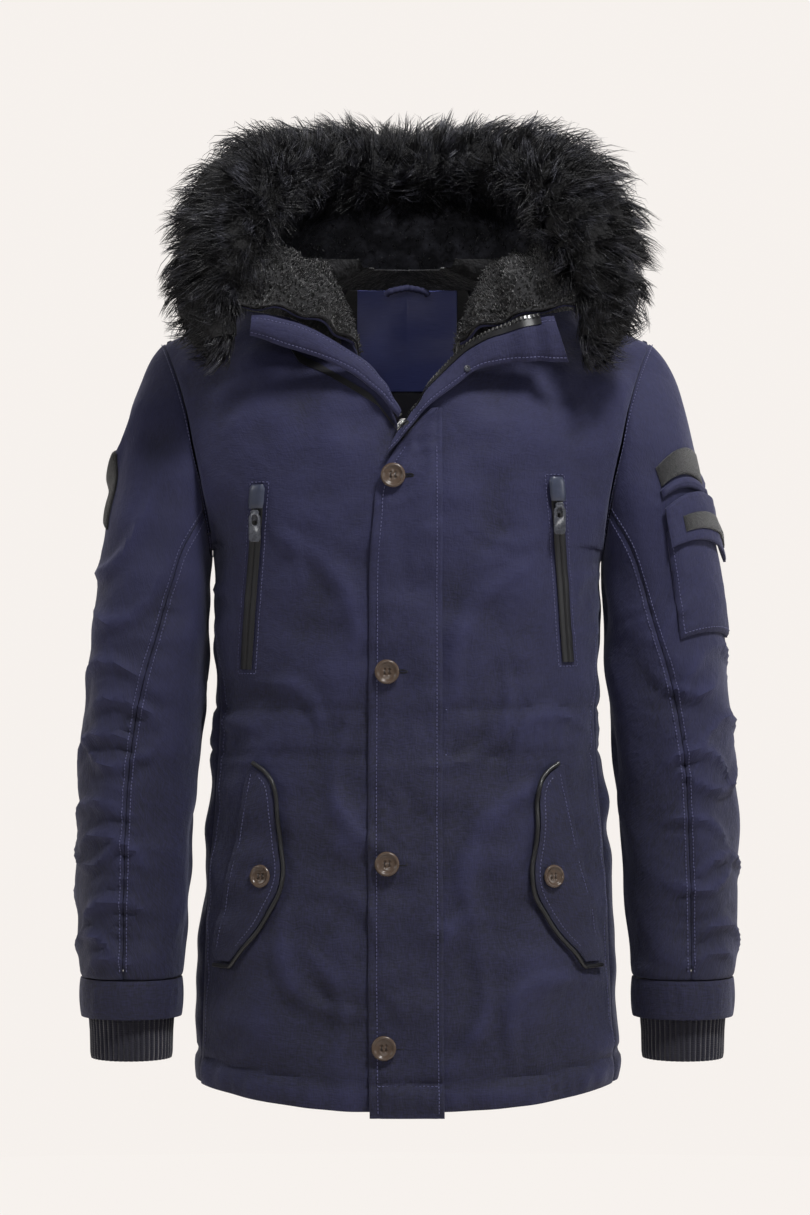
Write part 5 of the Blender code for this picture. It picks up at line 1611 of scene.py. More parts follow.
class PARKA_OT_hood(PieceOperator, Operator):
    """Sew the lowered hood and its pile lining"""
    bl_idname = "parka.hood"
    bl_label = "Hood"

    def make(self, cloth):
        """Cloth outside, pile inside, in three parts whose edges roll into their seams. The
        bag sags in soft folds: ridges that run round it, unevenly spaced."""
        rows, columns = 84, 201
        whole, normals = hood_grid(rows, columns)
        down = np.linspace(0, 1, rows)[:, None]
        round_it = np.linspace(-1, 1, columns)[None, :]
        sag = 0.0040 * np.sin(down * 19 + 3.0 * round_it + 2 * np.sin(round_it * 5))
        sag = sag + 0.0030 * np.sin(round_it * 17 + 6 * down) * np.sin(down * math.pi)
        whole = whole + normals * (sag * np.clip(np.minimum(down, 1 - down) / 0.2, 0, 1))[..., None]
        inside = whole - normals * (0.003 + GAP)
        for side, start, end in HOOD_PARTS:
            cut = slice(int(start * (columns - 1)), int(end * (columns - 1)) + 1)
            turned = normals[:, cut]
            part = whole[:, cut]
            edges = [edge for edge, at in ((2, start), (3, end)) if 0 < at < 1]
            part = part + turned * seam_dip(part, edges, cloth.groove)[..., None]
            shell("hood_" + side + "_cloth", part, 0.0028, [canvas(), pile_felt()],
                  "shell_cloth", ("hood_" + side,), turned)
            lumps = waves(distance_along(part, 1), distance_along(part, 0), 61, 0.0030, 0.02)
            pile = inside[:, cut] - turned * (0.0015 + lumps[..., None])
            lap = self.lap(pile)
            shell("hood_lining_" + side + "_pile", np.concatenate((lap, pile)), 0.0025,
                  [pile_felt()], "plush", ("hood_lining_" + side,),
                  np.concatenate((np.repeat(turned[:1], len(lap), axis=0), turned)))
        share = np.linspace(0, 1, 50)[:, None]
        level = np.linspace(0, 1, 14)[None, :]
        for side, edge in (("right", TURN_RIGHT), ("left", TURN_LEFT)):
            x, low, high = (spline(share * (len(edge) - 1), np.arange(len(edge)), edge[:, axis])
                            for axis in range(3))
            turned = on_body(x + 0 * level, low + (high - low) * level,
                             0.0022 + 0.0030 * np.sin(level * math.pi))
            shell("hood_lining_turn_" + side, turned, 0.0012, [pile_felt()], "plush",
                  normals=front_facing(turned), lies_on=("front_" + side,))
        x = np.linspace(-0.088, 0.088, 60)[:, None] + 0 * level
        turned = on_body(x, -0.005 + 0.019 * level + 0 * x, -0.0098, True, False)
        normals_in = grid_normals(turned)
        normals_in = normals_in * (-1 if normals_in[30, 7, 1] > 0 else 1)
        shell("hood_lining_turn_back", turned, 0.0012, [pile_felt()], "plush",
              normals=normals_in, lies_on=("back",))
        under = whole - normals * 0.0065
        lap = self.lap(under)
        self.tufts(np.concatenate((lap, under)),
                   np.concatenate((np.repeat(normals[:1], len(lap), axis=0), normals)))

    def lap(self, pile):
        """Rows that carry the pile over the neck seam: straight down from its first row and
        in towards the neck."""
        share = np.linspace(1, 0, 7)[:-1, None, None]
        inward = unit(pile[:1] * (-1, -1, 0) + (0, 0.02, 0))
        return pile[:1] + share * ((0, 0, -0.019) + inward * 0.009)

    def tufts(self, points, normals):
        """Pile tufts on the lining: leaning inwards and down, longer in some places."""
        setting = bpy.context.scene.parka_fur
        rows, columns = points.shape[:2]
        for side, sign in (("left", 1), ("right", -1)):
            random = np.random.default_rng(71 + sign)
            count = setting.pile
            row = random.uniform(0, rows - 1.01, count)
            column = (columns - 1) / 2 * (1 + sign * random.uniform(0, 0.995, count))
            low, near = row.astype(int), np.clip(column.astype(int), 0, columns - 2)
            a, b = (row - low)[:, None], (column - near)[:, None]
            roots = (points[low, near] * (1 - a) * (1 - b) + points[low + 1, near] * a * (1 - b)
                     + points[low, near + 1] * (1 - a) * b + points[low + 1, near + 1] * a * b)
            inward = -normals[low, near]
            size = setting.tuft * random.uniform(0.55, 1.25, (count, 1))
            lean = unit(inward + random.normal(0, 0.45, (count, 3)) + (0, 0, -0.25))
            tips = roots + lean * size
            bend = roots + inward * size * 0.55 + lean * size * 0.12
            hairs("hood_tufts_" + side + "_pile", (roots, bend, tips),
                  random.uniform(0.0007, 0.0013, count), pile_felt(), "plush", 81)


def hairs(name, curves, widths, material, slot, seed, replaced=()):
    """Tapered three-sided hairs in one mesh: each runs through its points, with a triangle
    across it at every point but the last, which is its tip. The second flat coordinate is the
    share of the way to the tip."""
    curves = np.stack(curves, axis=1)
    count, levels = curves.shape[:2]
    random = np.random.default_rng(seed)
    ahead = unit(curves[:, -1] - curves[:, 0])
    side = unit(np.cross(ahead, random.normal(0, 1, (count, 3))))
    other = np.cross(ahead, side)
    turns = np.arange(3) * math.tau / 3
    taper = np.linspace(1, 0.45, levels - 1)
    wide = widths[:, None] * taper
    rings = (curves[:, :-1, None] + wide[..., None, None] * (
        np.cos(turns)[:, None] * side[:, None, None]
        + np.sin(turns)[:, None] * other[:, None, None]))
    corners = np.concatenate((rings.reshape(count, -1, 3), curves[:, -1:]), axis=1)
    faces = [(2, 1, 0)]
    share = [0.0] * 3 * (levels - 1) + [1.0]
    for level in range(levels - 1):
        for step in range(3):
            share[level * 3 + step] = level / (levels - 1)
    for level in range(levels - 2):
        for step in range(3):
            low, after = level * 3 + step, level * 3 + (step + 1) % 3
            faces += [(low, after, after + 3), (low, after + 3, low + 3)]
    last = 3 * (levels - 2)
    faces += [(last + step, last + (step + 1) % 3, last + 3) for step in range(3)]
    faces = np.array(faces)
    total = corners.shape[1]
    joined = faces[None] + (np.arange(count) * total)[:, None, None]
    up = np.array(share)[faces]
    places = np.stack((np.zeros_like(up), up), axis=-1)
    places = np.broadcast_to(places, (count, *places.shape))
    return piece(name, corners.reshape(-1, 3), joined.reshape(-1, 3), [material],
                 replaced, places=places.reshape(-1, 2), sharp=180.0)


def fur_path(steps):
    """Middle line and reach of the fur along the hood's rim, from right to left."""
    numbers = np.arange(len(HOOD))
    fine = np.linspace(0, len(HOOD) - 1, 13)
    half = np.stack([spline(fine, numbers, HOOD[:, 12 + axis]) for axis in range(4)], axis=-1)
    end = half[-1].copy()
    low = end + (-0.010, -0.004, -0.034, 0)
    low[3] = end[3] * 0.80
    half = np.vstack((half, low))
    line = np.vstack((half[::-1] * (-1, 1, 1, 1), half[1:]))
    places = np.linspace(0, len(line) - 1, steps)
    return np.stack([spline(places, np.arange(len(line)), line[:, axis]) for axis in range(4)],
                    axis=-1)


HAIRS_A_LOCK = 14
FUR_MIDDLE = np.array((0.0, 0.02, 0.02))
FUR_EDGE = np.array((
    (-0.175, -0.094), (-0.208, -0.068), (-0.226, -0.042), (-0.232, -0.023), (-0.228, -0.010),
    (-0.226, 0.033), (-0.224, 0.067), (-0.207, 0.078), (-0.175, 0.102), (-0.166, 0.124),
    (-0.132, 0.139), (-0.087, 0.152), (-0.007, 0.162), (0.043, 0.164), (0.075, 0.148),
    (0.144, 0.136), (0.190, 0.092), (0.200, 0.076), (0.217, 0.033), (0.227, -0.010),
    (0.231, -0.038), (0.218, -0.054), (0.209, -0.073), (0.175, -0.098)))


class PARKA_OT_fur(PieceOperator, Operator):
    """Make the long fur along the hood's edge"""
    bl_idname = "parka.fur"
    bl_label = "Fur"

    def make(self, cloth):
        """A matted core tube, lumpy round its path, and locks of hair that leave it square,
        bend over towards the outside and down, and end near the fur's reach."""
        setting = bpy.context.scene.parka_fur
        line = fur_path(241)
        ahead = unit(np.gradient(line[:, :3], axis=0))
        side = unit(np.cross(ahead, (0.0, 0.0, 1.0)))
        other = np.cross(ahead, side)
        lump = 1 + 0.05 * np.sin(np.arange(241) * 0.31) + 0.04 * np.sin(np.arange(241) * 0.83)
        corners, faces = sweep(line[:, :3], line[:, 3] * 0.62 * lump, 28)
        core = piece("fur_trim_felt", corners, faces, [fur_felt()], ("fur_trim",))
        settle(core)
        for number, name in enumerate(("right", "back", "left")):
            random = np.random.default_rng(90 + number)
            count = setting.hairs
            lots = setting.hairs // HAIRS_A_LOCK
            at = random.uniform(number * 80, number * 80 + 79.99, lots)
            turn = random.uniform(0, math.tau, lots)
            size = random.uniform(0.82, 1.16, lots)
            lean = random.normal(0, 0.30, lots)
            tips = self.lock(line, ahead, side, other, at, turn, size, lean)[3]
            lot = np.repeat(np.arange(lots), HAIRS_A_LOCK)
            count = len(lot)
            at = np.clip(at[lot] + random.normal(0, 1.35, count), 0, 239.99)
            turn = turn[lot] + random.normal(0, 0.15, count)
            size = size[lot] * random.uniform(0.70, 1.05, count)
            curves = self.lock(line, ahead, side, other, at, turn, size, lean[lot])
            drawn = random.uniform(0.35, 0.92, count)[:, None]
            for number_of, share in ((2, 0.4), (3, 1.0)):
                pull = (tips[lot] - curves[3]) * drawn * share
                curves[number_of] = curves[number_of] + pull
            wide = setting.lock * random.uniform(0.5, 1.25, count)
            hairs("fur_locks_" + name, curves, wide, fur_hair(), "long_fur", 95)

    def lock(self, line, ahead, side, other, at, turn, size, lean):
        """Four places along a hair: out of the core square to the path, or spread like a fan
        round its two ends, then turned over the core outwards and down as it grows."""
        setting = bpy.context.scene.parka_fur
        low = np.minimum(at.astype(int), len(line) - 2)
        t = (at - low)[:, None]
        centre = line[low, :3] * (1 - t) + line[low + 1, :3] * t
        reach = line[low, 3] * (1 - t[:, 0]) + line[low + 1, 3] * t[:, 0]
        out = np.cos(turn)[:, None] * side[low] + np.sin(turn)[:, None] * other[low]
        fan = (np.clip((at - (len(line) - 12)) / 11, 0, 1) - np.clip((11 - at) / 11, 0, 1)) * 1.5
        out = unit(out + ahead[low] * (fan + 0.10 * np.sin(at * 0.9 + 3 * turn))[:, None])
        away = unit((centre - FUR_MIDDLE) * (1, 0.35, 1))
        comb = unit(away * 0.8 + (0, 0, -0.30) + ahead[low] * lean[:, None])
        size = size * (1 + 0.05 * np.sin(at * 0.55 + 2 * turn) + 0.04 * np.sin(at * 1.3 - 3 * turn))
        over = comb - out * np.sum(comb * out, axis=-1, keepdims=True)
        places = []
        for share in (0.0, 0.36, 0.70, 1.0):
            aim = unit(out + over * setting.sweep * share)
            far = 0.52 + (size - 0.52) * share ** 0.85
            places.append(aim * (reach * far)[:, None])
        return [centre + self.inside(centre, place, size) for place in places]

    def inside(self, centre, place, size):
        """Draw a place back along its hair where it would pass the fur's edge as seen from the
        front: the edge's distance from the middle is read at the place's own angle."""
        tip = centre + place
        x, z = tip[:, 0], tip[:, 2] - FUR_MIDDLE[2]
        edge_x, edge_z = FUR_EDGE[:, 0], FUR_EDGE[:, 1] - FUR_MIDDLE[2]
        angle = np.arctan2(edge_x, edge_z)
        reach = np.interp(np.arctan2(x, z), angle, np.hypot(edge_x, edge_z))
        reach = reach * (1 + (size - 1.0) * 0.6)
        over = np.maximum(np.hypot(x, z) - reach, 0)
        span = np.linalg.norm(place, axis=-1)
        return place * (1 - np.clip(over * 1.15 / span, 0, 0.6))[:, None]


class PARKA_OT_neck(PieceOperator, Operator):
    """Sew the satin facing, its sides, the lining and the hanger loop inside the back"""
    bl_idname = "parka.neck"
    bl_label = "Neck Inside"

    def make(self, cloth):
        """Panels inside the back: each a grid between its side edges at a few heights, set in
        from the back's surface, with soft creases in the lining."""
        clear = SHELL + 0.0034
        heights = (-0.104, -0.078, -0.052, -0.030, -0.006)
        self.panel("back_neck_facing", ((-0.0505, 0.0505),) * 5, heights, clear,
                   neck_satin(), "satin", 0.0004)
        side_edges = ((0.0512, 0.090), (0.0512, 0.086), (0.0512, 0.080), (0.0512, 0.070),
                      (0.0512, 0.060))
        self.panel("facing_side_left", side_edges, heights, clear, black_facing(), "side_cloth",
                   0.0006)
        other = tuple((-last, -first) for first, last in side_edges)
        self.panel("facing_side_right", other, heights, clear, black_facing(), "side_cloth",
                   0.0006)
        low = (-0.745, -0.640, -0.540, -0.440, -0.340, -0.260, -0.190, -0.145, -0.1065)
        widths = (0.172, 0.170, 0.164, 0.158, 0.156, 0.150, 0.135, 0.118, 0.095)
        self.panel("lining_back", tuple((-width, width) for width in widths), low,
                   clear + 0.0015, body_lining(), "lining_cloth", 0.0026)
        share = np.linspace(0, 1, 41)
        x = 0.0255 * (2 * share - 1)
        droop = -0.0010 + 0.0060 * np.sin(share * math.pi) ** 0.5
        path = on_body(x, droop, np.full_like(x, -clear - 0.0135), True, False)
        thick = 0.0032 * (1 + 0.10 * np.sin(share * 190))
        tube("hanger_loop_cord", path, thick, canvas(), ("hanger_loop",), 14)

    def panel(self, name, across, heights, depth, material, slot, crease):
        """One inside panel from its table of side edges and heights."""
        edges = np.array(across)
        height = np.linspace(heights[0], heights[-1], 70)[:, None]
        first = spline(height, heights, edges[:, 0])
        last = spline(height, heights, edges[:, 1])
        share = np.linspace(0, 1, 60)[None, :]
        x = first + (last - first) * share
        z = height + 0 * x
        soft = waves(x, z, 101, crease * 2.2, 0.045) + crease * np.sin(x * 90 + z * 60) * 0.4
        lift = -depth + np.clip(soft, -0.0008, 0.004) * -1.0
        points = on_body(x, z, lift, True, False)
        normals = grid_normals(points)
        normals = normals * (1 if normals[35, 30, 1] > 0 else -1)
        shell(name + "_cloth", points, LINING * 0.8, [material], slot, (name,), normals)


def rounded_copy(node, suffix, width, material, body=COAT):
    """Copy of a frame solid with its flat faces joined and its edges rounded."""
    shape = bmesh.new()
    shape.from_mesh(frame["nodes"][node].data)
    bmesh.ops.remove_doubles(shape, verts=shape.verts, dist=1e-6)
    bmesh.ops.dissolve_limit(shape, angle_limit=math.radians(1), verts=shape.verts,
                             edges=shape.edges)
    bmesh.ops.bevel(shape, geom=list(shape.edges), offset=width, segments=3, profile=0.5,
                    affect="EDGES", clamp_overlap=True)
    bmesh.ops.recalc_face_normals(shape, faces=shape.faces)
    mesh = bpy.data.meshes.new(node + suffix)
    shape.to_mesh(mesh)
    shape.free()
    mesh.materials.append(material)
    mesh.shade_smooth()
    mesh.set_sharp_from_angle(angle=math.radians(50))
    thing = bpy.data.objects.new(node + suffix, mesh)
    bpy.context.scene.collection.objects.link(thing)
    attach(thing, body)
    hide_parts(node)
    return thing


# One zip tooth: a block that narrows outwards, with its outer face drawn in
TOOTH_CORNERS = np.array([
    (-1.0, -0.8, -0.6), (1.0, -0.5, -0.6), (1.0, 0.5, -0.6), (-1.0, 0.8, -0.6),
    (-0.8, -0.6, 0.6), (0.8, -0.35, 0.6), (0.8, 0.35, 0.6), (-0.8, 0.6, 0.6)])
TOOTH_FACES = np.array([(3, 2, 1, 0), (4, 5, 6, 7), (0, 1, 5, 4), (1, 2, 6, 5), (2, 3, 7, 6),
                        (3, 0, 4, 7)])


def teeth(name, path, outs, sides):
    """Row of zip teeth along a path, pointing to its sides."""
    places = spaced(path, 0.0040)
    centre = at_places(path, places)
    along = unit(at_places(path, places + 0.02) - at_places(path, places - 0.02))
    out = unit(at_places(outs, places))
    side = unit(at_places(sides, places))
    frames = np.stack((side * 0.0016, along * 0.0012, out * 0.0012), axis=1)
    thing = copies(name, TOOTH_CORNERS, TOOTH_FACES, centre + out * 0.0006, frames, [nickel()])
    settle(thing)


class PARKA_OT_zips(PieceOperator, Operator):
    """Make the zips: tapes, teeth, sliders, pulls and garages"""
    bl_idname = "parka.zips"
    bl_label = "Zips"

    def make(self, cloth):
        """Tapes follow the cloth, teeth are set along them, sliders and pulls are the frame's
        solids with rounded edges, and garages are domes along the top of the chest slots."""
        heights = np.linspace(-0.778, -0.160, 260)[:, None]
        for side, sign in (("left", 1), ("right", -1)):
            across = np.linspace(GAP, ZIP_HALF - GAP, 6)[None, :]
            points = on_body(sign * across + 0 * heights, heights + 0 * across, -0.0004)
            shell("zip_tape_" + side + "_tape", points, 0.0012, [coated_tape()], "zip_tape",
                  ("zip_tape_" + side,), front_facing(points))
        self.turned_tape()
        self.chest("left", 1, CHEST_LEFT_RISE)
        self.chest("right", -1, 0.0)
        rounded_copy("main_slider", "_metal", 0.0007, nickel())
        rounded_copy("main_pull", "_metal", 0.0003, nickel(), "main_pull")

    def turned_tape(self):
        """Tape and teeth of the open part of the zip, along the left strip's inner edge and
        down inside the right front."""
        grid, normals = wing_grid(WING_LEFT, 110, 26, True)
        inner = grid[1:102, 0]
        toward = unit(grid[1:102, 6] - grid[1:102, 0])
        out = normals[1:102, 2]
        lean = np.linspace(-0.0045, 0.0065, 7)[None, :, None]
        tape = inner[:, None] + toward[:, None] * lean + out[:, None] * 0.0016
        shell("zip_tape_turn_left_tape", tape, 0.0008, [coated_tape()], "zip_tape",
              normals=np.repeat(out[:, None], 7, axis=1))
        teeth("zip_teeth_left", inner - toward * 0.0026 + out * 0.0024, out, -toward)
        x = np.linspace(-0.0230, -0.0050, 24)
        z = np.linspace(-0.1160, -0.1420, 24)
        path, outs = body_seam(x, z, 0.0022)
        sides = np.broadcast_to((0.80, 0.0, 0.60), path.shape)
        teeth("zip_teeth_right", path, outs, sides)

    def chest(self, side, sign, rise):
        """One chest zip: two coated lips that meet along the slot, a dome over its top end."""
        slope = (CHEST_BOTTOM[0] - CHEST_TOP[0]) / (CHEST_BOTTOM[1] - CHEST_TOP[1])
        share = np.linspace(0, 1, 110)[:, None]
        across = np.linspace(-CHEST_HALF, CHEST_HALF, 25)[None, :]
        x = CHEST_TOP[0] + (CHEST_BOTTOM[0] - CHEST_TOP[0]) * share + across
        z = CHEST_TOP[1] + rise + (CHEST_BOTTOM[1] - CHEST_TOP[1]) * share + 0 * across
        lips = 0.0009 * np.sqrt(np.clip(1 - (np.abs(across) / CHEST_HALF) ** 4, 0, 1))
        lips = lips - 0.0014 * bell(across, 0.0006) + 0 * share
        points = on_body(sign * x, z, LIFT + lips)
        shell("chest_zip_tape_" + side + "_tape", points, 0.0010, [coated_tape()], "zip_tape",
              ("chest_zip_tape_" + side,), front_facing(points))
        down = np.linspace(-0.002, 0.020, 30)[:, None]
        place = np.linspace(-1, 1, 21)[None, :]
        half = np.interp(down, (-0.002, 0.002, 0.014, 0.020), (0.0052, 0.0070, 0.0072, 0.0064))
        dome = (1 - np.abs(place) ** 3) * np.clip(1 - ((down - 0.009) / 0.0125) ** 4, 0, 1)
        x = CHEST_TOP[0] - down * slope + half * place
        z = CHEST_TOP[1] + rise - down + 0 * place
        points = on_body(sign * x, z, LIFT + 0.0024 + 0.0034 * np.sqrt(dome))
        shell("chest_garage_" + side + "_rubber", points, 0.0018, [moulded_rubber()], "rubber",
              ("chest_garage_" + side,), front_facing(points))
        rounded_copy("chest_slider_" + side, "_metal", 0.0006, enamel())
        rounded_copy("chest_pull_" + side, "_metal", 0.0005, enamel(),
                     "chest_pull_" + side)


class PARKA_OT_pockets(PieceOperator, Operator):
    """Sew the hand-pocket flaps and their leather piping"""
    bl_idname = "parka.pockets"
    bl_label = "Hand Pockets"

    def make(self, cloth):
        """A flap is the grid between its sewn and free edges, puffed a little. The piping is
        a tube just outside its free edge."""
        edges = refine(POCKET_FLAP[:, None], 90, 1)[:, 0] if False else np.stack(
            [spline(np.linspace(0, 10, 90), np.arange(11), POCKET_FLAP[:, axis])
             for axis in range(3)], axis=-1)
        share = np.linspace(0, 1, 26)[None, :]
        x = edges[:, 1:2] + (edges[:, 2:3] - edges[:, 1:2]) * share
        z = edges[:, 0:1] + 0 * share
        wide = np.abs(edges[:, 2:3] - edges[:, 1:2])
        puff = 0.0016 * np.sin(share * math.pi) ** 0.6 * np.clip(wide / 0.03, 0, 1)
        free = POCKET_FLAP[:, (2, 0)]
        radius = 0.0021
        outward_flap = unit(np.gradient(free, axis=0))[:, ::-1] * (1, -1)
        route = free + outward_flap * (radius + 0.0009)
        route = np.vstack((route[:-1], (POCKET_FLAP[-1, 2] - 0.0015, POCKET_FLAP[-1, 0] - 0.0033),
                           ((0.1690, -0.6565), (0.1810, -0.6565))))
        fine = np.linspace(0, len(route) - 1, 150)
        route = np.stack([spline(fine, np.arange(len(route)), route[:, axis])
                          for axis in range(2)], axis=-1)
        for side, sign in (("left", 1), ("right", -1)):
            points = on_body(sign * x, z, LIFT + 0.0030 + puff)
            shell("pocket_flap_" + side + "_cloth", points, 0.0028, [canvas()], "shell_cloth",
                  ("pocket_flap_" + side,), front_facing(points))
            path = on_body(sign * route[:, 0], route[:, 1], LIFT + radius + 0.0008)
            tube("pocket_piping_" + side + "_leather", path, radius, grain_leather(),
                 ("pocket_piping_" + side,), 12)


# Share of the radius and height of a button's face, its rim and its underside
BUTTON_PROFILE = np.array([
    (0.0, 0.0014), (0.30, 0.0014), (0.52, 0.0016), (0.66, 0.0021), (0.74, 0.0031),
    (0.83, 0.0037), (0.93, 0.0034), (1.0, 0.0022), (0.97, 0.0010), (0.86, 0.0004),
    (0.40, 0.0002), (0.0, 0.0002),
])


def button(name, seat, normal, radius, replaced):
    """A turned button: its profile spun round the normal, with four holes pressed into its
    face; the second flat coordinate is 1 on the rim. Twist thread joins the holes."""
    normal = unit(np.asarray(normal, float))
    first = unit(np.cross((0.0, 0.0, 1.0), normal))
    second = np.cross(normal, first)
    steps = 56
    level = np.concatenate((np.linspace(0, 2, 16)[1:], np.linspace(2, 11, 34)[1:-1]))
    numbers = np.arange(len(BUTTON_PROFILE))
    share = spline(level, numbers, BUTTON_PROFILE[:, 0])[:, None]
    high = spline(level, numbers, BUTTON_PROFILE[:, 1])[:, None]
    turns = (np.arange(steps) * math.tau / steps)[None, :]
    flat_x, flat_y = share * np.cos(turns), share * np.sin(turns)
    top = (level < 3.0)[:, None]
    holes = sum(bell(np.hypot(flat_x - a * 0.20, flat_y - b * 0.20), 0.095) for a in (-1, 1)
                for b in (-1, 1))
    lift = high - 0.0016 * np.clip(holes, 0, 1) * top
    rings = (seat + flat_x[..., None] * first * radius + flat_y[..., None] * second * radius
             + lift[..., None] * normal)
    corners = np.concatenate((rings.reshape(-1, 3), [seat + normal * BUTTON_PROFILE[0, 1]],
                              [seat + normal * BUTTON_PROFILE[-1, 1]]))
    ring, step = (grid.ravel() for grid in np.mgrid[0:len(level) - 1, 0:steps])
    after = (step + 1) % steps
    faces = np.stack((ring * steps + step, ring * steps + after, (ring + 1) * steps + after,
                      (ring + 1) * steps + step), axis=-1).tolist()
    # how far each ring is on the rim, where the horn paints its highlight
    rim = np.interp(level, (0, 3, 4, 5, 6, 7, 8, 11), (0, 0, 0.35, 1, 1, 0.8, 0.4, 0.2))
    marks = np.repeat(rim, steps).tolist() + [0.0, 0.2]
    count = len(level) * steps
    for step in range(steps):
        after = (step + 1) % steps
        faces.append([count, after, step])
        faces.append([count + 1, count - steps + step, count - steps + after])
    places = [(0.0, marks[corner]) for face in faces for corner in face]
    thing = piece(name + "_horn", corners, faces, [horn()], (replaced,), places=places,
                  sharp=60.0)
    settle(thing)
    centres, frames = [], []
    for offset in (-0.19, 0.19):
        centres.append(seat + normal * 0.0014 + first * offset * radius)
        frames.append(np.stack((first * 0.0004, second * radius * 0.20, normal * 0.0006)))
    bars = copies(name + "_twist", STITCH_CORNERS, STITCH_FACES, np.array(centres),
                  np.array(frames), [black_thread()])
    settle(bars)


def buttonhole(name, path, outs):
    """Worked buttonhole: upright twist stitches round a slit, with a dark core cord in it."""
    rim = np.concatenate((path, path[::-1]))
    middle = path.mean(axis=0)
    along = unit(path[-1] - path[0])
    out = unit(outs.mean(axis=0))
    side = np.cross(along, out)
    reach = np.linalg.norm(path[-1] - path[0]) / 2
    turns = np.linspace(0, math.tau, 60)
    rim = (middle + along * (np.cos(turns) * reach)[:, None]
           + side * (np.sign(np.sin(turns)) * np.abs(np.sin(turns)) ** 0.4 * 0.0012)[:, None])
    sew(name + "_twist", [(rim, np.broadcast_to(out, rim.shape))], black_thread(),
        pitch=0.00055, length=0.0020, radius=0.00034, upright=True)


class PARKA_OT_buttons(PieceOperator, Operator):
    """Sew on the horn buttons and work their buttonholes"""
    bl_idname = "parka.buttons"
    bl_label = "Buttons"

    def make(self, cloth):
        """Four down the placket and one on each hand pocket, square to the cloth there."""
        for number, (x, z) in enumerate(zip(BUTTON_X, FRONT_BUTTONS), 1):
            lift = placket_lift(0.0022)
            seat, high = on_body(x, z, lift), on_body(x, z, 0.02)
            button("front_button_%d" % number, seat, high - on_body(x, z, 0.0), BUTTON_RADIUS,
                   "front_button_%d" % number)
            hole = np.linspace(x + 0.0095, x + 0.0185, 12)
            path, outs = body_seam(hole, np.full(12, z), placket_lift(0.0010))
            buttonhole("buttonhole_%d" % number, path, outs)
        for side, sign in (("left", 1), ("right", -1)):
            x, z = sign * FLAP_BUTTON[0], FLAP_BUTTON[1]
            seat, high = on_body(x, z, LIFT + 0.0052), on_body(x, z, 0.02)
            button("flap_button_" + side, seat, high - on_body(x, z, 0.0), FLAP_BUTTON_RADIUS,
                   "flap_button_" + side)


def sleeve_patch(name, place_on, lift, thickness, material, slot, left, slant=0.0, puff=0.0,
                 flare=0.0):
    """Piece on a sleeve between two ring numbers and two angles, slanted, puffed in its
    middle, with rounded corners' edges and, on a flap, flaring off towards its lower edge."""
    (first, last), (low, high) = place_on
    down = np.linspace(0, 1, 44)[:, None]
    share = np.linspace(0, 1, 40)[None, :]
    rows = first + (last - first) * down + 0 * share
    turns = np.radians(low + (high - low) * share) + 0 * down
    rows = rows + slant * (turns - math.radians((low + high) / 2))
    away = np.minimum(np.minimum(down, 1 - down) * (last - first) * 0.06,
                      np.minimum(share, 1 - share) * math.radians(high - low) * 0.075)
    rise = lift + puff * np.clip(away / 0.012, 0, 1) ** 0.6 - 0.0010 * np.exp(-away / 0.0012)
    rise = rise + flare * down ** 2
    points = on_sleeve(rows, turns, rise, left)
    normals = sleeve_normal(rows, turns)
    shell(name, points, thickness, [material], slot,
          normals=normals if left else mirrored(normals),
          lies_on=("sleeve_upper_left" if left else "sleeve_upper_right",))
    return points


class PARKA_OT_sleeve_pocket(PieceOperator, Operator):
    """Sew the sleeve patches, and the left sleeve's pocket with its welt and flap"""
    bl_idname = "parka.sleeve_pocket"
    bl_label = "Sleeve Pocket"

    def make(self, cloth):
        """Each lies on its sleeve, raised one over the other."""
        for name, place_on, lift, thick, material, slot, left, slant, puff, flare in (
                ("sleeve_patch_right", PATCH_RIGHT, 0.0030, 0.0018, loop_tape(), "hook_loop",
                 False, 0.0, 0.0006, 0.0),
                ("sleeve_patch_left", PATCH_LEFT, 0.0030, 0.0018, loop_tape(), "hook_loop",
                 True, WELT_SLANT, 0.0006, 0.0),
                ("sleeve_pocket_left", BAG_LEFT, 0.0034, 0.0020, canvas(), "shell_cloth",
                 True, BAG_SLANT, 0.0030, 0.0),
                ("sleeve_welt_left", WELT_LEFT, 0.0044, 0.0030, canvas(), "shell_cloth",
                 True, WELT_SLANT, 0.0034, 0.0),
                ("sleeve_flap_left", FLAP_LEFT, 0.0082, 0.0024, canvas(), "shell_cloth",
                 True, FLAP_SLANT, 0.0010, 0.0040),
                ("sleeve_flap_patch_left", FLAP_PATCH_LEFT, 0.0122, 0.0014, loop_tape(),
                 "hook_loop", True, FLAP_SLANT, 0.0004, 0.0016)):
            sleeve_patch(name + "_top", place_on, lift, thick, material, slot, left, slant,
                         puff, flare)
            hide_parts(name)


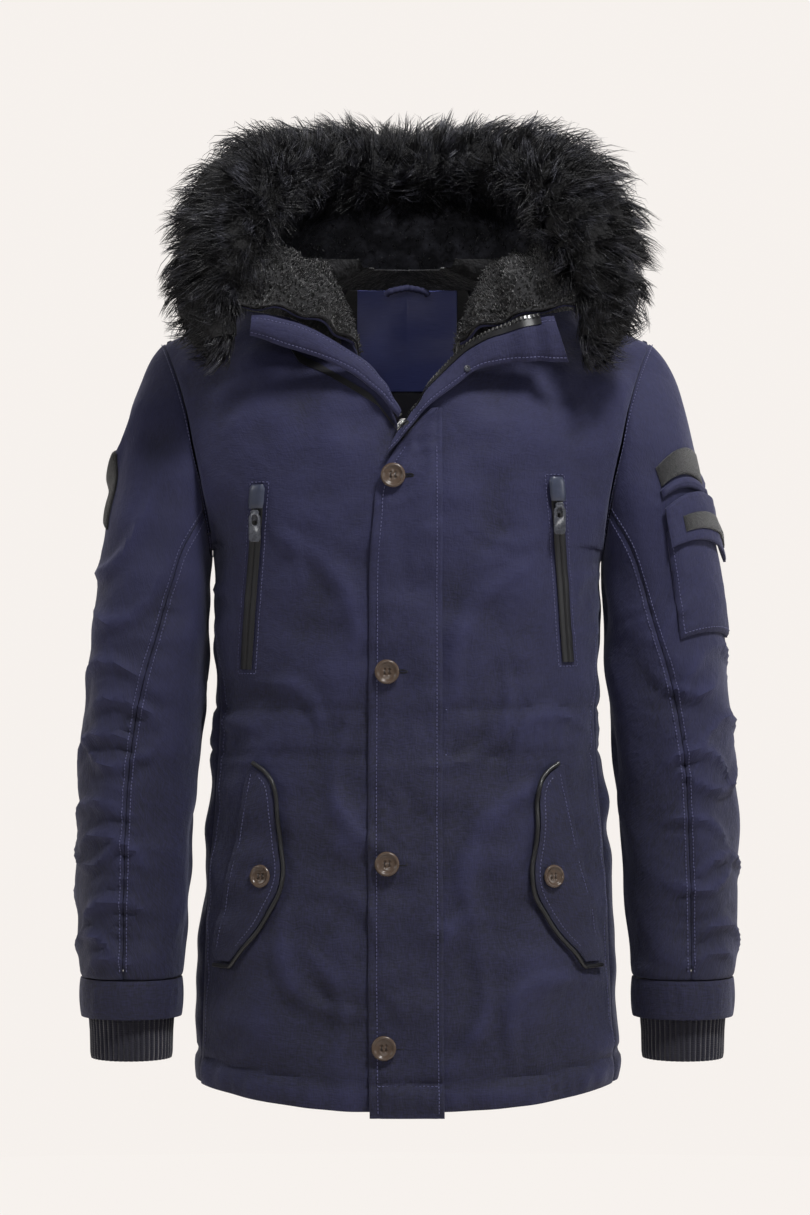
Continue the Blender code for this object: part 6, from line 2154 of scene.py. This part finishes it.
class PARKA_OT_stitching(PieceOperator, Operator):
    """Sew the topstitching along the seams and edges"""
    bl_idname = "parka.stitching"
    bl_label = "Topstitching"

    def make(self, cloth):
        """Rows of small stitches on the finished cloth."""
        thread = canvas_thread()
        sew("stitches_body", self.body_rows(), thread)
        sew("stitches_sleeves", self.sleeve_rows(), thread)
        sew("stitches_collar", self.collar_rows(), thread)

    def body_rows(self):
        """Hem, casing, placket, pocket, chest zip, side and shoulder rows."""
        rows = []
        fine = np.linspace(0, 1, 400)
        for sign in (1, -1):
            edge = 0.0370 if sign < 0 else 0.0345
            for height in CASING:
                x = sign * (edge + (0.176 - edge) * fine)
                rows.append(body_seam(x, np.full(400, height), -0.0004))
            x = sign * (edge + (0.190 - edge) * fine)
            rows.append(body_seam(x, hem_height(turn_for(x, HEM_FRONT_Z)) + HEM_BAND, -0.0006))
            z = np.linspace(-0.735, -0.300, 400)
            x = sign * (body_at(side_turn(z), z)[:, 0] - 0.0045)
            rows.append(body_seam(x, z, 0.0002))
        back_x = np.linspace(-0.19, 0.19, 600)
        for height in CASING:
            rows.append(body_seam(back_x * 0.92, np.full(600, height), -0.0004, True))
        turn = math.pi - turn_for(back_x, HEM_BACK_Z)
        rows.append(body_seam(back_x, hem_height(turn) + HEM_BAND, -0.0006, True))
        z = np.linspace(PLACKET[0, 0] + 0.004, -0.170, 700)
        free, seam = placket_edges(z)
        rows.append(body_seam(free + 0.0078, z, placket_lift(-0.0002)))
        rows.append(body_seam(seam - 0.0052, z, placket_lift(0.0002)))
        rows.append(body_seam(np.linspace(free[0] + 0.007, seam[0] - 0.006, 60),
                              np.full(60, PLACKET[0, 0] + HEM_BAND + 0.004),
                              placket_lift(0.0012)))
        slope = (CHEST_BOTTOM[0] - CHEST_TOP[0]) / (CHEST_BOTTOM[1] - CHEST_TOP[1])
        for sign, rise in ((1, CHEST_LEFT_RISE), (-1, 0.0)):
            z = np.linspace(CHEST_TOP[1] + 0.004, CHEST_BOTTOM[1] - 0.004, 200)
            line = CHEST_TOP[0] + (z - CHEST_TOP[1]) * slope
            for off in (-0.0088, 0.0088):
                rows.append(body_seam(sign * (line + off), z + rise, 0.0003))
            for height in (z[0], z[-1]):
                x = np.interp(height, z[::-1], line[::-1]) + np.linspace(-0.0088, 0.0088, 20)
                rows.append(body_seam(sign * x, np.full(20, height) + rise, 0.0003))
            free = POCKET_FLAP[:, (2, 0)]
            inset = unit(np.gradient(free, axis=0))[:, ::-1] * (1, -1)
            route = (free - inset * 0.0042)[1:-1]
            steps = np.linspace(0, len(route) - 1, 200)
            x, z = (spline(steps, np.arange(len(route)), route[:, axis]) for axis in range(2))
            rows.append(body_seam(sign * x, z, LIFT + 0.0038))
            rows.append(body_seam(sign * (POCKET_FLAP[1:-1, 1] - 0.005), POCKET_FLAP[1:-1, 0],
                                  LIFT + 0.0040))
        for behind in (False, True):
            for sign in (1, -1):
                x = sign * np.linspace(0.090, 0.226, 160)
                rows.append(body_seam(x, ridge(x) - 0.0050, 0.0002, behind))
        return rows

    def sleeve_rows(self):
        """Two rows beside each sleeve seam, and rows round the sleeve pocket's pieces."""
        rows = []
        row = np.linspace(0.25, len(SLEEVE) - 1.15, 700)
        off = 0.0040 / 0.072
        for left in (True, False):
            fore, behind = sleeve_seams(row)
            for angle in (fore - off, fore + off, behind - off, behind + off):
                rows.append(sleeve_seam(row, angle, 0.0001, left))
            turn = np.linspace(-math.pi, math.pi, 500)
            rows.append(sleeve_seam(np.full(500, 0.10), turn, 0.0002, left))
        (first, last), (low, high) = BAG_LEFT
        down = np.linspace(first + 0.05, last - 0.06, 200)
        middle = math.radians((low + high) / 2)
        edge = math.radians(high - 3.5)
        rows.append(sleeve_seam(down + BAG_SLANT * (edge - middle), np.full(200, edge), 0.0052,
                                True))
        across = np.radians(np.linspace(low + 3, high - 3, 100))
        rows.append(sleeve_seam(last - 0.08 + BAG_SLANT * (across - middle), across, 0.0052,
                                True))
        return rows

    def collar_rows(self):
        """A row inside each long edge of the two collar strips."""
        rows = []
        for table, left in ((WING_LEFT, True), (WING_RIGHT, False)):
            grid, normals = wing_grid(table, 110, 26, left)
            across = distance_along(grid, 1)
            for inset, from_end in ((0.0050, False), (0.0050, True)):
                path, outs = [], []
                wide = across[:, -1]
                place = np.where(from_end, wide - inset, inset)
                keep = wide > 2.4 * inset
                for axis in range(3):
                    path.append([np.interp(place[k], across[k], grid[k, :, axis])
                                 for k in np.flatnonzero(keep)])
                path = np.array(path).T
                outs = normals[keep, 12]
                rows.append((path + unit(outs) * 0.0001, outs))
        return rows


class PARKA_OT_stage(PieceOperator, Operator):
    """Set the floor, the lights and the camera"""
    bl_idname = "parka.stage"
    bl_label = "Stage"

    def make(self, cloth):
        """A floor that curves up into a backdrop, five soft lights, an even sky and a
        straight-on camera."""
        stage = bpy.context.scene.parka_stage
        self.backdrop(stage)
        for name, power, size, place in (
                ("key_light", stage.key, 0.7, (1.0, -1.7, 2.2)),
                ("left_light", stage.fill, 1.0, (2.6, -0.8, 0.1)),
                ("right_light", stage.fill, 1.0, (-2.6, -0.8, 0.5)),
                ("front_light", stage.fill * 0.8, 0.5, (-0.3, -3.6, 0.3)),
                ("top_light", stage.fill * 1.4, 1.2, (0.0, 1.3, 2.0))):
            lamp = bpy.data.lights.new(name, "AREA")
            lamp.energy = power
            lamp.shape = "DISK"
            lamp.size = size
            thing = bpy.data.objects.new(name, lamp)
            bpy.context.scene.collection.objects.link(thing)
            thing.location = place
            aim = np.array((0.0, 0.0, -0.32)) - place
            thing.rotation_euler = (math.atan2(np.hypot(aim[0], aim[1]), -aim[2]), 0.0,
                                    math.atan2(-aim[0], aim[1]))
        world = bpy.data.worlds.new("even_sky")
        world.use_nodes = True
        sky = world.node_tree.nodes["Background"]
        sky.inputs["Color"].default_value = (1.0, 0.985, 0.97, 1.0)
        sky.inputs["Strength"].default_value = 0.13
        bpy.context.scene.world = world
        bpy.context.scene.view_settings.view_transform = "Standard"
        lens = bpy.data.cameras.new("camera")
        lens.lens = stage.lens
        lens.sensor_width = 36.0
        camera = bpy.data.objects.new("camera", lens)
        camera.location = (-0.002, -stage.distance, stage.height)
        camera.rotation_euler = (math.pi / 2, 0.0, 0.0)
        bpy.context.scene.collection.objects.link(camera)
        bpy.context.scene.camera = camera

    def backdrop(self, stage):
        """Floor to wall in one sheet: straight, a quarter circle, straight. It throws light on
        the parka, and the camera sees the round wall instead."""
        turns = np.linspace(0, math.pi / 2, 24)
        radius, low, back = 1.6, -1.9, 3.2
        y = np.concatenate(((-9.0,), back - radius + radius * np.sin(turns), (back,)))
        z = np.concatenate(((low,), low + radius - radius * np.cos(turns), (7.0,)))
        x = np.linspace(-9, 9, 3)
        points = np.stack(np.broadcast_arrays(x[None, :], y[:, None], z[:, None]), axis=-1)
        rows, columns = points.shape[:2]
        row, column = (grid.ravel() for grid in np.mgrid[0:rows - 1, 0:columns - 1])
        low_left = row * columns + column
        faces = np.stack((low_left, low_left + 1, low_left + columns + 1, low_left + columns), -1)
        mesh = bpy.data.meshes.new("backdrop")
        mesh.from_pydata(points.reshape(-1, 3).tolist(), [], faces.tolist())
        mesh.shade_smooth()
        make = Maker("backdrop_paper", 0.95, Emission_Strength=0.935)
        height = make.axis(2)
        wall = make.span(height, -1.88, -1.60)
        make.colour(make.mix(wall, stage.backdrop, shade(stage.backdrop, 0.06)))
        glow = make.mix(wall, (0.0, 0.0, 0.0), stage.backdrop)
        make.tree.links.new(glow.socket, make.shader.inputs["Emission Color"])
        mesh.materials.append(make.material)
        sheet = bpy.data.objects.new("backdrop", mesh)
        sheet.visible_camera = False
        bpy.context.scene.collection.objects.link(sheet)
        self.round_wall(stage, low + 0.01)

    def round_wall(self, stage, low):
        """A round wall and a disc for its floor, which the camera sees behind the parka from
        every side. They give the parka no light."""
        turns = np.linspace(0, math.tau, 97)[:-1]
        ring = np.stack((8.0 * np.cos(turns), 8.0 * np.sin(turns)), axis=-1)
        points = [(x, y, z) for z in (low, 8.0) for x, y in ring.tolist()]
        faces = [((k + 1) % 96, k, k + 96, (k + 1) % 96 + 96) for k in range(96)]
        mesh = bpy.data.meshes.new("round_wall")
        mesh.from_pydata(points, [], [*faces, tuple(range(96))])
        make = Maker("round_paper", 0.95, Emission_Strength=0.98)
        make.shader.inputs["Base Color"].default_value = (0.0, 0.0, 0.0, 1.0)
        make.shader.inputs["Emission Color"].default_value = (*stage.backdrop, 1.0)
        mesh.materials.append(make.material)
        wall = bpy.data.objects.new("round_wall", mesh)
        wall.visible_diffuse = False
        wall.visible_glossy = False
        wall.visible_transmission = False
        wall.visible_shadow = False
        bpy.context.scene.collection.objects.link(wall)


OPERATORS = (PARKA_OT_body, PARKA_OT_sleeves, PARKA_OT_cuffs, PARKA_OT_placket,
             PARKA_OT_collar, PARKA_OT_hood, PARKA_OT_fur, PARKA_OT_neck, PARKA_OT_zips,
             PARKA_OT_pockets, PARKA_OT_buttons, PARKA_OT_sleeve_pocket, PARKA_OT_stitching,
             PARKA_OT_stage)
GROUPS = (("parka_cloth", ParkaCloth), ("parka_fur", ParkaFur), ("parka_colours", ParkaColours),
          ("parka_stage", ParkaStage))


class PARKA_PT_pieces(Panel):
    """Lists the parka's sizes, colours and pieces"""
    bl_label = "Parka"
    bl_idname = "PARKA_PT_pieces"
    bl_space_type = "VIEW_3D"
    bl_region_type = "UI"
    bl_category = "Parka"

    def draw(self, context):
        """Settings first, then a button for each operator."""
        for key, group in GROUPS:
            box = self.layout.box()
            for setting in group.__annotations__:
                box.prop(getattr(context.scene, key), setting)
        for operator in OPERATORS:
            self.layout.operator(operator.bl_idname)


def register():
    """Register the settings, the operators and the panel."""
    for key, group in GROUPS:
        bpy.utils.register_class(group)
        setattr(bpy.types.Scene, key, PointerProperty(type=group))
    for shown in (*OPERATORS, PARKA_PT_pieces):
        bpy.utils.register_class(shown)


def unregister():
    """Take away what register added."""
    for shown in reversed((*OPERATORS, PARKA_PT_pieces)):
        bpy.utils.unregister_class(shown)
    for key, group in reversed(GROUPS):
        delattr(bpy.types.Scene, key)
        bpy.utils.unregister_class(group)


def main():
    """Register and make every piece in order."""
    register()
    for operator in OPERATORS:
        group, name = operator.bl_idname.split(".")
        getattr(getattr(bpy.ops, group), name)()


if __name__ == "__main__":
    main()
